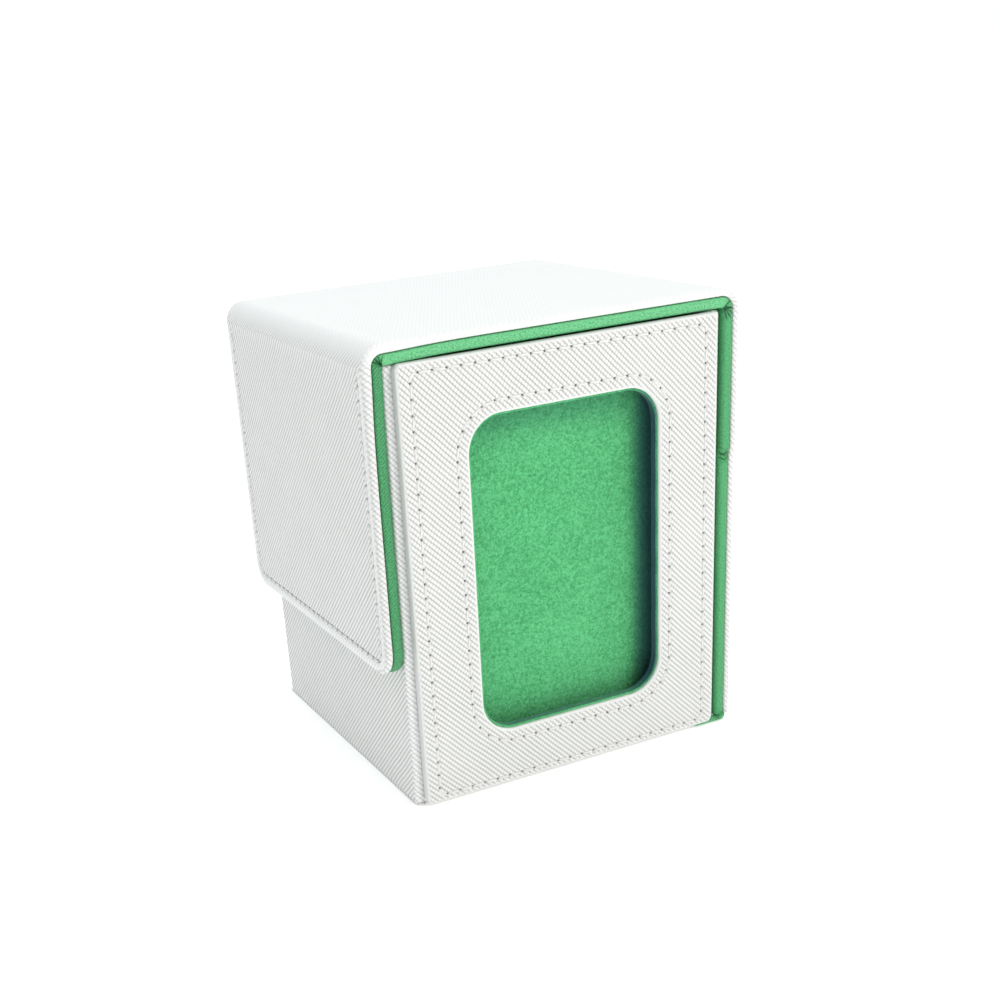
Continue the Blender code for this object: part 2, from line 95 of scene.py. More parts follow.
# ---- the lid's sheet laid out flat: lengths along its outer face, from the flap's lower edge
FLAP_LENGTH = LID_TOP - FOLD_RADIUS - flap_low[2]
QUARTER = pi / 2 * FOLD_RADIUS
TOP_LENGTH = LID_RIGHT - LID_LEFT - 2 * FOLD_RADIUS
FLAP_END = FLAP_LENGTH
TOP_START = FLAP_END + QUARTER
TOP_END = TOP_START + TOP_LENGTH
SIDE_START = TOP_END + QUARTER
CREASE_START = SIDE_START + LID_TOP - FOLD_RADIUS - side_low[2]
CREASE_END = SIDE_START + LID_TOP - FOLD_RADIUS - foot_high[2]
LID_END = SIDE_START + LID_TOP - FOLD_RADIUS - foot_low[2]

# ---- looks that no node gives
COVER_FACE = 0.8 * MM  # leatherette over a board
LINING_FACE = 1.0 * MM
BOARD_RIM = 2.0 * MM  # from a lid panel's edge to the room for its board
FLAP_CORNER = 6.0 * MM
SEAM_INSET = 3.0 * MM  # flap's edge to its seam
STITCH = 3.25 * MM  # from one needle hole to the next
FLAP_STITCH = 2.9 * MM
PANEL_SEAM_SIDE = 3.2 * MM
PANEL_SEAM_TOP = 2.1 * MM
PANEL_SEAM_FOOT = 1.6 * MM
WINDOW_SEAM = 2.8 * MM
WINDOW_SIDE = 15.5 * MM
WINDOW_TOP = 13.1 * MM
WINDOW_FOOT = 13.2 * MM
WINDOW_RADIUS = 8.0 * MM
THREAD = 0.25 * MM  # radius of the sewing thread


# ---- shader maths written as Python expressions
class Signal:
    """A socket that Python's operators turn into Math nodes."""

    def __init__(self, finish, socket):
        self.finish = finish
        self.socket = socket

    def __add__(self, other):
        return self.finish.math("ADD", self, other)

    def __sub__(self, other):
        return self.finish.math("SUBTRACT", self, other)

    def __rsub__(self, other):
        return self.finish.math("SUBTRACT", other, self)

    def __mul__(self, other):
        return self.finish.math("MULTIPLY", self, other)

    def __truediv__(self, other):
        return self.finish.math("DIVIDE", self, other)

    def __pow__(self, other):
        return self.finish.math("POWER", self, other)

    def __abs__(self):
        return self.finish.math("ABSOLUTE", self)

    __radd__ = __add__
    __rmul__ = __mul__


class Finish:
    """A material being made, whose nodes are added by type."""

    def __init__(self, name, roughness, **constants):
        self.material = bpy.data.materials.new(name)
        self.material.use_nodes = True
        self.tree = self.material.node_tree
        self.shader = self.tree.nodes["Principled BSDF"]
        self.put("Roughness", roughness)
        for socket, value in constants.items():
            self.put(socket.replace("_", " "), value)

    def put(self, socket, value):
        """Sets or links one socket of the material's shader."""
        self.feed(self.shader.inputs[socket], value)

    def feed(self, socket, value):
        if isinstance(value, Signal):
            self.tree.links.new(value.socket, socket)
        else:
            socket.default_value = value

    def node(self, kind, settings=None, inputs=None, output=0):
        """Adds a node of a type, with its settings first and then its sockets, and gives one output."""
        made = self.tree.nodes.new("ShaderNode" + kind)
        for name, value in (settings or {}).items():
            setattr(made, name, value)
        for key, value in (inputs or {}).items():
            self.feed(made.inputs[key], value)
        return Signal(self, made.outputs[output])

    def math(self, operation, *values):
        return self.node("Math", {"operation": operation}, dict(enumerate(values)))

    def ramp(self, value, low, high):
        """0 below low, 1 above high and smooth between."""
        settings = {"interpolation_type": "SMOOTHSTEP"}
        return self.node("MapRange", settings, {"Value": value, "From Min": low, "From Max": high})

    def noise(self, place, size, detail=2.0):
        """Cloudy noise from 0 to 1, its blots about size metres wide."""
        inputs = {"Vector": place, "Scale": 1 / size, "Detail": detail}
        return self.node("TexNoise", None, inputs)

    def colour(self, share, first, second):
        """A mix of two colours."""
        inputs = {0: share, 6: first, 7: second}
        return self.node("Mix", {"data_type": "RGBA"}, inputs, output=2)

    def relief(self, height):
        """A normal bent by a height in metres."""
        return self.node("Bump", None, {"Height": height, "Strength": 1.0, "Distance": 1.0})

    def sheet_place(self):
        """Place on the flat sheet, in metres, which follows the piece as it bends."""
        return self.node("UVMap", {"uv_map": "sheet"})

    def solid_place(self):
        """Place in the piece, in metres."""
        return self.node("TexCoord", None, None, output=3)

    def share(self, name):
        """A value kept on the piece's points."""
        return self.node("Attribute", {"attribute_name": name}, None, output=2)


def rgb(red, green, blue):
    return (red, green, blue, 1.0)


def cross_grain(finish, rib_pitch, bead_pitch):
    """Embossed cross grain: ribs at 45 degrees with a narrow furrow between them, notched into beads.

    A rib's height is the square root of a half sine across it, and the notches are set half a bead
    further along on every next rib. Gives the rib's height and the notch's height, both from 0 to 1.
    """
    place = finish.sheet_place()
    drift = finish.noise(place, 9 * MM, 1.0) * (0.5 * MM)
    parts = finish.tree.nodes.new("ShaderNodeSeparateXYZ")
    finish.tree.links.new(place.socket, parts.inputs[0])
    u, v = (Signal(finish, parts.outputs[i]) for i in (0, 1))
    ribs = (u + v + drift) / (sqrt(2) * rib_pitch)
    row = finish.math("FLOOR", ribs)
    beads = (u - v) / (sqrt(2) * bead_pitch) + row * 0.37 + (ribs - row) * 0.45
    ribs = ribs + finish.math("SINE", beads * (2 * pi)) * 0.035
    rib = abs(finish.math("SINE", ribs * pi)) ** 0.42
    notch = abs(finish.math("SINE", beads * pi)) ** 0.45
    return rib, notch


def leatherette(name, crest, furrow, pit, pale, fleck, rib_pitch, depth, roughness):
    """Cross-grain leatherette: furrows are coloured darker, partly dust and partly painted shade, and crests
    are worn a little smoother.

    pit colours needle holes, dark with their backing and painted shade, and painted shade in creases and
    shaded bands; pale is painted light on brightly lit parts; fleck says how speckled the sheet is.
    """
    finish = Finish(name, roughness, Specular_IOR_Level=0.35)
    rib, notch = cross_grain(finish, rib_pitch, 0.88 * rib_pitch)
    place = finish.sheet_place()
    grain = finish.share("grain")
    tall = rib * (0.6 + notch * 0.4)
    cloud = finish.noise(place, 14 * MM, 3.0)
    speck = finish.noise(place, 0.42 * MM, 3.0)
    # The furrows' darker colour is partly dust and partly painted shade.
    shade = ((1 - rib) ** 1.2 * 1.3 + (1 - notch) ** 1.3 * 0.5) * grain * (0.75 + cloud * 0.5)
    # Painted light: the crests turn pale where a piece is marked as brightly lit.
    rubbed = finish.colour(finish.share("rubbed") + (speck - 0.5) * fleck, rgb(*crest), rgb(*pale))
    colour = finish.colour(shade + (0.5 - speck) * fleck, rubbed, rgb(*furrow))
    # Painted shade, together with the dark backing of needle holes: the colour mixes towards pit.
    finish.put("Base Color", finish.colour(finish.share("hole"), colour, rgb(*pit)))
    finish.put("Roughness", (roughness + 0.1) - tall * grain * 0.12 + speck * 0.06)
    height = tall * grain * depth + speck * (0.012 * MM)
    finish.put("Normal", finish.relief(height))
    return finish.material


def microfibre(name, light, dark, depth):
    """Matt brushed microfibre: short nap in soft mottles, and a dark blue-green painted shade where the
    piece's deep share is high.
    """
    finish = Finish(name, 0.92, Specular_IOR_Level=0.15, Sheen_Weight=0.25, Sheen_Roughness=0.5)
    place = finish.solid_place()
    nap = finish.noise(place, 0.36 * MM, 3.0)
    mottle = finish.noise(place, 0.8 * MM, 2.0)
    cloud = finish.noise(place, 18 * MM, 2.0)
    share = finish.ramp(nap * 0.65 + mottle * 0.35 + cloud * 0.14, 0.39, 0.72)
    colour = finish.colour(share, rgb(*dark), rgb(*light))
    # Painted shade: the colour mixes towards dark blue-green by the deep share.
    finish.put("Base Color", finish.colour(finish.share("deep"), colour, rgb(0.004, 0.046, 0.095)))
    finish.put("Normal", finish.relief(nap * depth + mottle * depth))
    return finish.material


def thread_finish():
    """White spun thread: two plies twisted together."""
    finish = Finish("sewing thread", 0.7, Specular_IOR_Level=0.3)
    place = finish.solid_place()
    fuzz = finish.noise(place, 0.12 * MM, 2.0)
    finish.put("Base Color", finish.colour(fuzz, rgb(0.76, 0.755, 0.74), rgb(0.86, 0.855, 0.84)))
    finish.put("Normal", finish.relief(fuzz * (0.05 * MM)))
    return finish.material


def card_board():
    """Grey board: pressed fibres with darker flecks."""
    finish = Finish("grey board", 0.95, Specular_IOR_Level=0.1)
    place = finish.solid_place()
    fibre = finish.noise(place, 0.6 * MM, 4.0)
    fleck = finish.ramp(finish.noise(place, 1.7 * MM, 1.0), 0.62, 0.7)
    colour = finish.colour(fibre, rgb(0.26, 0.25, 0.23), rgb(0.40, 0.39, 0.36))
    finish.put("Base Color", finish.colour(fleck * 0.5, colour, rgb(0.16, 0.15, 0.14)))
    finish.put("Normal", finish.relief(fibre * (0.06 * MM)))
    return finish.material


def magnet_metal():
    """Nickel-plated disc: bright, with faint scuffs."""
    finish = Finish("nickel plate", 0.25, Metallic=1.0)
    place = finish.solid_place()
    scuff = finish.noise(place, 0.9 * MM, 4.0)
    finish.put("Base Color", finish.colour(scuff, rgb(0.66, 0.66, 0.65), rgb(0.80, 0.79, 0.77)))
    finish.put("Roughness", 0.18 + scuff * 0.2)
    finish.put("Normal", finish.relief(scuff * (0.01 * MM)))
    return finish.material


def black_plastic():
    """Satin black sheet with a fine frosted face."""
    finish = Finish("black sheet", 0.45, Specular_IOR_Level=0.45)
    place = finish.solid_place()
    frost = finish.noise(place, 0.3 * MM, 2.0)
    rub = finish.ramp(finish.noise(place, 12 * MM, 4.0), 0.45, 0.8)
    finish.put("Base Color", finish.colour(rub, rgb(0.012, 0.012, 0.013), rgb(0.028, 0.028, 0.03)))
    finish.put("Roughness", 0.36 + rub * 0.12 + frost * 0.1)
    finish.put("Normal", finish.relief(frost * (0.02 * MM)))
    return finish.material


# In both sheets pit colours needle holes and painted shade, and pale is painted light.
WHITE = leatherette(
    "white leatherette", crest=(0.835, 0.835, 0.825), furrow=(0.395, 0.385, 0.37), pit=(0.06, 0.055, 0.05),
    pale=(0.92, 0.925, 0.925), fleck=0.0, rib_pitch=0.955 * MM, depth=0.18 * MM, roughness=0.42,
)
GREEN = leatherette(
    "green leatherette", crest=(0.078, 0.375, 0.145), furrow=(0.01, 0.12, 0.04), pit=(0.004, 0.055, 0.025),
    pale=(0.17, 0.60, 0.27), fleck=1.6, rib_pitch=0.6 * MM, depth=0.12 * MM, roughness=0.45,
)
NAP = microfibre("green microfibre", (0.130, 0.575, 0.242), (0.048, 0.315, 0.110), 0.12 * MM)
THREAD_FINISH = thread_finish()
BOARD = card_board()
METAL = magnet_metal()
BLACK = black_plastic()


# ---- from grids to pieces
def piece(name, grid, sheet, finish, caps=True, smooth=38, **shares):
    """A mesh from a grid of points: rows along it, columns round a closed line whose last point is its first.

    The caps close the first and the last row with one face each. Sheet is each point's place on the
    flat sheet, and shares are further values on the points.
    """
    rows, columns = grid.shape[:2]
    index = np.arange(rows * columns).reshape(rows, columns)
    quads = np.stack([index[:-1, :-1], index[:-1, 1:], index[1:, 1:], index[1:, :-1]], -1)
    faces = quads.reshape(-1, 4).tolist()
    if caps:
        faces += [index[0, :-1][::-1].tolist(), index[-1, :-1].tolist()]
    mesh = bpy.data.meshes.new(name)
    mesh.from_pydata(grid.reshape(-1, 3).tolist(), [], faces)
    corner = np.empty(len(mesh.loops), np.int32)
    mesh.loops.foreach_get("vertex_index", corner)
    flat = np.broadcast_to(sheet, (rows, columns, 2)).reshape(-1, 2)
    mesh.uv_layers.new(name="sheet").data.foreach_set("uv", flat[corner].astype(np.float32).ravel())
    for share, value in shares.items():
        value = np.broadcast_to(value, (rows, columns)).astype(np.float32)
        mesh.attributes.new(share, "FLOAT", "POINT").data.foreach_set("value", value.ravel())
    shape = bmesh.new()
    shape.from_mesh(mesh)
    bmesh.ops.remove_doubles(shape, verts=shape.verts, dist=WELD)
    bmesh.ops.dissolve_degenerate(shape, edges=shape.edges, dist=WELD)
    bmesh.ops.recalc_face_normals(shape, faces=shape.faces)
    shape.to_mesh(mesh)
    shape.free()
    mesh.shade_smooth()
    mesh.set_sharp_from_angle(angle=radians(smooth))
    mesh.materials.append(finish)
    made = bpy.data.objects.new(name, mesh)
    bpy.context.collection.objects.link(made)
    return made


def settle(made, body, slot, *nodes):
    """Puts a finished piece on its body and hides the nodes that it stands for; its slot is not used."""
    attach(made, body)
    if nodes:
        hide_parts(*nodes)
    return made


def smooth_step(value):
    """0 below 0, 1 above 1, and three squares less two cubes between."""
    value = np.clip(value, 0, 1)
    return value * value * (3 - 2 * value)


def bell(value, width):
    """1 at 0, falling to nothing a few widths away: e to the minus square."""
    return np.exp(-((value / width) ** 2))


# ---- rectangles with rounded corners
def round_rectangle(u, v, half_u, half_v, radius):
    """How far points lie outside a rounded rectangle, and how far along it their nearest point is.

    In each quarter the line runs up the side, round a quarter circle and along the end. The length
    counts on from the middle of the right side, anticlockwise.
    """
    a = np.abs(u) - (half_u - radius)
    b = np.abs(v) - (half_v - radius)
    corner = (a > 0) & (b > 0)
    outside = np.where(corner, np.hypot(a, b), np.maximum(a, b)) - radius
    up = half_v - radius
    quarter = up + pi / 2 * radius + half_u - radius
    turned = up + radius * np.arctan2(np.maximum(b, 0), np.maximum(a, 1e-12))
    length = np.where(corner, turned, np.where(a > b, np.abs(v), quarter - np.abs(u)))
    length = np.where(u < 0, 2 * quarter - length, length)
    return outside, np.where(v < 0, 4 * quarter - length, length), quarter


def rectangle_at(length, half_u, half_v, radius):
    """The point and the outward direction at a length along a rounded rectangle.

    The length counts from the middle of the right side, anticlockwise.
    """
    up, over = half_v - radius, half_u - radius
    quarter = up + pi / 2 * radius + over
    turn = np.floor(length / (2 * quarter))
    rest = length - turn * 2 * quarter
    back = rest > quarter
    rest = np.where(back, 2 * quarter - rest, rest)
    angle = np.clip((rest - up) / radius, 0, pi / 2)
    u = over + radius * np.cos(angle) - np.clip(rest - up - pi / 2 * radius, 0, None)
    v = np.minimum(rest, up) + radius * np.sin(angle)
    flip = np.where(back, -1.0, 1.0)
    half_turn = np.where(turn % 2 == 1, -1.0, 1.0)
    point = np.stack([u * flip * half_turn, v * half_turn], -1)
    out = np.stack([np.cos(angle) * flip * half_turn, np.sin(angle) * half_turn], -1)
    return point, out


def ring_steps(straight_u, straight_v, arc):
    """Steps round a rounded rectangle: which of its eight stretches, and how far along that stretch."""
    counts = [straight_v, arc, straight_u, arc] * 2
    stretch = np.concatenate([np.full(count, i) for i, count in enumerate(counts)] + [[0]])
    share = np.concatenate([np.arange(count) / count for count in counts] + [[0.0]])
    return stretch, share


def rings(centre, half, radius, steps):
    """Points and outward directions on rounded rectangles, one row each, all with the same steps round.

    Even stretches are straight and odd ones are quarter circles. centre and half are (rows, 2).
    """
    stretch, share = steps
    side = stretch // 2
    arc = stretch % 2 == 1
    angle = side * pi / 2 + np.where(arc, share * pi / 2, 0)
    out = np.stack([np.cos(angle), np.sin(angle)], -1)[None]
    tangent = np.stack([-np.sin(side * pi / 2), np.cos(side * pi / 2)], -1)[None]
    radius = np.asarray(radius, float)[:, None, None]
    half = np.asarray(half, float)[:, None, :]
    straight = half - radius
    signs = np.array([(1, 1), (-1, 1), (-1, -1), (1, -1)])[side][None]
    turned = signs * straight + radius * out
    reach = np.where((side % 2 == 0)[None, :, None], half[..., :1], half[..., 1:])
    length = np.where((side % 2 == 0)[None, :, None], straight[..., 1:], straight[..., :1])
    along = out * reach + tangent * length * (2 * share - 1)[None, :, None]
    points = np.where(arc[None, :, None], turned, along) + np.asarray(centre, float)[:, None, :]
    return points, np.broadcast_to(out, points.shape)


# ---- sewing
def needle_holes(outside, length, stitch, pull=1.0):
    """Seam relief and darkness round a seam line: a shallow furrow, and an oval pit at each stitch's end.

    The harder the thread pulls, the deeper the furrow and the fuller the pads on either side. The darkness is
    the holes' dark backing deepened by painted shade, and under a hard pull also a painted shade line along
    the furrow.
    """
    to_hole = (length / stitch + 0.5) % 1 - 0.5
    pit = bell(to_hole * stitch, 0.36 * MM * pull) * bell(outside, 0.24 * MM * pull)
    furrow = bell(outside, 0.42 * MM) * 0.13 * MM * pull
    pillow = bell(np.abs(outside) - 1.1 * MM, 0.6 * MM) * 0.05 * MM * pull
    # Dark pits (dark backing and painted shade) and, under a hard pull, a painted shade line along the
    # furrow.
    shade = np.clip(pit * 2.2 - 0.5, 0, 1) + (pull - 1) * 0.3 * bell(outside, 0.22 * MM)
    return furrow + pit * 0.42 * MM - pillow, np.clip(shade, 0, 1)


def sew(name, line, total, count, place, body, node):
    """Single stitches along a line: each a thread of six rings whose ends dive into the needle holes.

    Along a stitch the thread's middle rises as a half sine, and it lies slightly aslant to the seam.
    """
    stitch = total / count
    share = np.linspace(0.07, 0.93, 9)
    start = np.arange(count)[:, None] * stitch
    length = (start + share * stitch) % total
    point, out = line(length)
    tangent = np.stack([-out[..., 1], out[..., 0]], -1)
    lift = np.sin(share * pi) ** 0.6
    slant = (share - 0.5) * 0.16 * MM
    centre = point + out * slant[None, :, None]
    thin = THREAD * np.clip(lift * 1.15, 0.25, 1.0)
    turn = np.linspace(0, 2 * pi, 7)
    across = thin[None, :, None] * np.cos(turn)[None, None]
    middle = 0.34 * MM - lift * 0.30 * MM
    depth = middle[None, :, None] + thin[None, :, None] * 0.85 * np.sin(turn)[None, None]
    u = centre[..., 0, None] + out[..., 0, None] * across
    v = centre[..., 1, None] + out[..., 1, None] * across
    grid = place(u, v, np.broadcast_to(depth, u.shape))
    columns = len(turn)
    rows = len(share)
    index = np.arange(count * rows * columns).reshape(count, rows, columns)
    quads = np.stack([index[:, :-1, :-1], index[:, :-1, 1:], index[:, 1:, 1:], index[:, 1:, :-1]], -1)
    ends = [index[:, 0, :-1], index[:, -1, :-1]]
    mesh = bpy.data.meshes.new(name)
    faces = quads.reshape(-1, 4).tolist() + ends[0].tolist() + ends[1].tolist()
    mesh.from_pydata(grid.reshape(-1, 3).tolist(), [], faces)
    shape = bmesh.new()
    shape.from_mesh(mesh)
    bmesh.ops.remove_doubles(shape, verts=shape.verts, dist=WELD)
    bmesh.ops.recalc_face_normals(shape, faces=shape.faces)
    shape.to_mesh(mesh)
    shape.free()
    mesh.shade_smooth()
    mesh.materials.append(THREAD_FINISH)
    made = bpy.data.objects.new(name, mesh)
    bpy.context.collection.objects.link(made)
    return settle(made, body, "white_thread", node)


# ---- slabs: a wrapped board whose edges are rolled, with a room for the board in its back
def roll(radius, steps):
    """Insets from an edge on a rolled corner, from the face to the edge: radius times one less a sine."""
    return radius * (1 - np.sin(np.linspace(0, pi / 2, steps)))


def rolled_depth(inset, radius):
    """How far a rolled corner has dropped below its face at an inset: a quarter circle."""
    inside = np.clip(radius - inset, 0, radius)
    return radius - np.sqrt(np.clip(radius**2 - inside**2, 0, None))


def slab(stations, ends, half, corner, layer, radii, face_insets, middle=2, back_middle=0, wall=2):
    """A slab's grid: sections across it, one for each station along it.

    ends says whether the slab's low and high end are rolled over or cut. Near a rolled end, and in a
    corner, the edge keeps its distance from the outline, so half the width shrinks along a circle.
    layer is the depths of the face, of the back at the rim, and of the room, and the rim's width.
    Gives distance along, place across, depth, and the length travelled round the edge past the face.
    """
    face, rim, room, rim_width = layer
    face_roll, back_roll = radii
    way = 1 if rim > face else -1
    low, high = stations[0], stations[-1]
    rolled = np.full(len(stations), np.inf)
    if ends[0]:
        rolled = np.minimum(rolled, stations - low)
    if ends[1]:
        rolled = np.minimum(rolled, high - stations)
    every = np.minimum(stations - low, high - stations)

    front = np.concatenate([face_insets, roll(face_roll, 7), np.zeros(wall), roll(back_roll, 5)[::-1]])
    back = np.array([rim_width, rim_width + 0.05 * MM, face_insets[0]])
    inset = np.concatenate([front, back])
    kind = np.concatenate([np.zeros(len(face_insets) + 7), np.ones(wall), np.full(5 + 3, 2)])
    edge = np.linspace(0, 1, wall + 2)[1:-1]

    h = rolled[:, None]
    d = np.minimum(inset[None], h)
    span_out = np.clip(corner - h, 0, None)
    turned = half - corner + np.sqrt(np.clip((corner - d) ** 2 - span_out**2, 0, None))
    width = np.where(h < corner, turned, half - d)

    upper = face + way * rolled_depth(d, face_roll)
    under = rim - way * rolled_depth(d, back_roll)
    limit = np.minimum(inset[None], every[:, None])
    under = np.where((limit > rim_width + 0.02 * MM) & (inset[None] > rim_width + 0.02 * MM), room, under)
    fore, aft = face + way * face_roll, rim - way * back_roll
    on_wall = fore + (aft - fore) * edge
    depth = np.where(kind == 0, upper, under)
    depth[:, kind == 1] = on_wall

    face_depth = face + way * rolled_depth(inset, face_roll)
    nominal_depth = np.where(kind == 0, face_depth, rim - way * rolled_depth(inset, back_roll))
    nominal_depth[kind == 1] = on_wall
    step = np.hypot(np.diff(inset), np.diff(nominal_depth))
    travelled = np.concatenate([[0], np.cumsum(step)])
    travelled -= travelled[len(face_insets)]

    share = np.linspace(-1, 1, back_middle + 2)[1:-1]
    across = np.concatenate([-width, width[:, -1:] * share[None], width[:, ::-1]], 1)
    depth = np.concatenate([depth, np.repeat(depth[:, -1:], back_middle, 1), depth[:, ::-1]], 1)
    past = np.concatenate([travelled, np.full(back_middle, travelled[-1]), travelled[::-1]])
    # the middle of the face closes the loop
    share = np.linspace(1, -1, middle + 2)[1:-1]
    inner = width[:, :1]
    across = np.concatenate([across, inner * share[None], across[:, :1]], 1)
    depth = np.concatenate([depth, np.repeat(depth[:, :1], middle + 1, 1)], 1)
    past = np.concatenate([past, np.full(middle, travelled[0]), travelled[:1]])
    along = np.broadcast_to(stations[:, None], across.shape)
    return along, across, depth, np.broadcast_to(past, across.shape)


def mirrored_sheet(along, across, past, half, face_roll):
    """Place on the sheet: flat over the face, and turned back on itself round the edges."""
    edge = half - face_roll
    over = np.where(past > 0, edge - past, np.abs(across))
    return np.stack([along, np.sign(across) * over], -1)


# ---- the lid
def lid_place(along, across, depth):
    """From the lid's flat sheet to its place.

    Up the flap, round a quarter circle, over the top, round another quarter circle and down the side.
    """
    first = np.clip((along - FLAP_END) / FOLD_RADIUS, 0, pi / 2)
    second = np.clip((along - TOP_END) / FOLD_RADIUS, 0, pi / 2)
    over = np.clip(along - TOP_START, 0, TOP_LENGTH)
    down = np.clip(along - SIDE_START, 0, None)
    heading = first + second
    step = SIDE_STEP * smooth_step((along - CREASE_START) / (CREASE_END - CREASE_START))
    depth = depth + step
    x = LID_LEFT + FOLD_RADIUS * (1 - np.cos(first)) + over + FOLD_RADIUS * np.sin(second)
    z = flap_low[2] + np.clip(along, 0, FLAP_END) + FOLD_RADIUS * (np.sin(first) + np.cos(second) - 1) - down
    x = x + depth * np.cos(heading)
    z = z - depth * np.sin(heading)
    return np.stack([x, LID_MIDDLE + across, z], -1)


def end_steps(fine, rolled):
    """Distances from an end: close together over its roll, then over the room's edge."""
    near = roll(fine, 7)[::-1] if rolled else np.array([0.0])
    return np.concatenate([near, [BOARD_RIM, BOARD_RIM + 0.05 * MM]])


def between(low, high, gap):
    """Even steps between two values, both left out."""
    return np.linspace(low, high, max(int((high - low) / gap), 2))[1:-1]


COVER_LAYER = (0.0, COVER_RIM, COVER_FACE, BOARD_RIM)
LINING_LAYER = (LID_THICK, LINING_RIM, LID_THICK - LINING_FACE, BOARD_RIM)
COVER_ROLLS = (0.8 * MM, 0.5 * MM)
LINING_ROLLS = (0.75 * MM, 0.5 * MM)
EDGE_INSETS = np.array([6.0, 4.5, 3.0, 2.2, 1.5, 1.1]) * MM
SEAM_STEPS = np.linspace(-1.3, 1.3, 15) * MM
WRINKLE = 0.85 * MM  # from one small fold of the padded edge to the next


def wrinkles(along, depth):
    """How far the padded edge is drawn in at the lid's corners and at its crease, in short slanting folds."""
    inner = np.clip((depth - LINING_RIM) / (LID_THICK - LINING_RIM), 0, 1)
    slanted = (along - SIDE_START) + 1.1 * depth
    gather = bell(along - SIDE_START + 0.2 * MM, 1.4 * MM) * 0.10 * MM * np.sin(2 * pi * slanted / WRINKLE)
    middle = (TOP_END + SIDE_START) / 2
    mitre = bell(along - middle - 1.6 * MM * (1 - inner), 0.45 * MM) * 0.3 * MM * smooth_step(inner * 1.6)
    left = (FLAP_END + TOP_START) / 2
    small = bell(along - left, 2.4 * MM) * 0.22 * MM * np.sin(2 * pi * (along - 0.8 * depth) / (0.95 * MM))
    small += bell(along - left, 0.6 * MM) * 0.25 * MM * smooth_step(inner * 1.6)
    crease = (CREASE_START + CREASE_END) / 2
    pinch = bell(along - crease - 1.4 * MM * abs(inner - 0.5), 0.4 * MM) * 0.6 * MM
    ripple = np.sin(2 * pi * (along + 0.9 * depth) / WRINKLE)
    beside = bell(along - crease - 1.2 * MM, 1.4 * MM) * 0.16 * MM * ripple
    return gather + mitre + small + pinch + beside


# corner's side, where the creases start from it, their angles in degrees, their length, and their strength,
# which sets their depth and painted shade
CORNER_CREASES = (
    (1, (0.1 * MM, 0.3 * MM), (-78, -58, -38, -18, 34), 3.4 * MM, 0.9),
    (-1, (-0.2 * MM, 0.3 * MM), (64, 98, 132, 164), 2.4 * MM, 0.75),
)


def creases(x, z, along, inner):
    """How deep the lining's creases are and how much painted shade they hold: rays from the upper corners, a
    chevron at the fold.
    """
    total = np.zeros_like(x)
    for side, (right, up), angles, reach, strength in CORNER_CREASES:
        corner = LID_RIGHT - LID_THICK if side > 0 else LID_LEFT + LID_THICK
        u, v = x - corner - right, z - LID_TOP + LID_THICK - up
        for angle in np.radians(angles):
            ahead = u * np.cos(angle) + v * np.sin(angle)
            aside = v * np.cos(angle) - u * np.sin(angle)
            along_ray = smooth_step(ahead / (0.3 * MM)) * smooth_step((reach - ahead) / (0.9 * MM))
            total = np.maximum(total, bell(aside, 0.19 * MM) * along_ray * strength)
    crease = (CREASE_START + CREASE_END) / 2
    for shift, strength in ((0.0, 0.9), (1.1 * MM, 0.5), (-1.2 * MM, 0.35)):
        line = along - crease - shift - 1.3 * MM * (0.5 - np.abs(inner - 0.5))
        total = np.maximum(total, bell(line, 0.16 * MM) * strength)
    return total


def pressed(along):
    """How far the cover is sunk beside the upper boards' edges: ridges over the edges, a dip in the fold."""
    dip = bell(along - (FLAP_END + TOP_START) / 2, 2.4 * MM) * 0.22 * MM
    ridge = bell(along - FLAP_END + 0.4 * MM, 0.7 * MM) * 0.24 * MM
    other = bell(along - TOP_START - 1.0 * MM, 0.9 * MM) * 0.10 * MM
    return dip - ridge - other


def swell(along):
    """How far the flap's upper front corner is padded out inwards."""
    return bell(along - FLAP_END - 3 * MM, 13 * MM) * 0.62 * MM


def lid_stations(length, rolls, ends, cover, seam):
    """Distances along a stretch of the lid: close together over its ends and, on the flap, over its seam."""
    low, high = end_steps(rolls[0], ends[0]), end_steps(rolls[0], ends[1])
    if seam:
        face = between(4.5 * MM, length - BOARD_RIM - 0.2 * MM, 0.36 * MM)
        rows = [SEAM_INSET + SEAM_STEPS, face]
    else:
        gap = 0.4 * MM if cover else 0.16 * MM
        rows = [between(BOARD_RIM + 0.1 * MM, length - BOARD_RIM - 0.1 * MM, gap)]
        if not cover:
            rows += [between(0, BOARD_RIM, gap), length - between(0, BOARD_RIM, gap)]
    return np.unique(np.concatenate([low, *rows, length - high]).round(8))


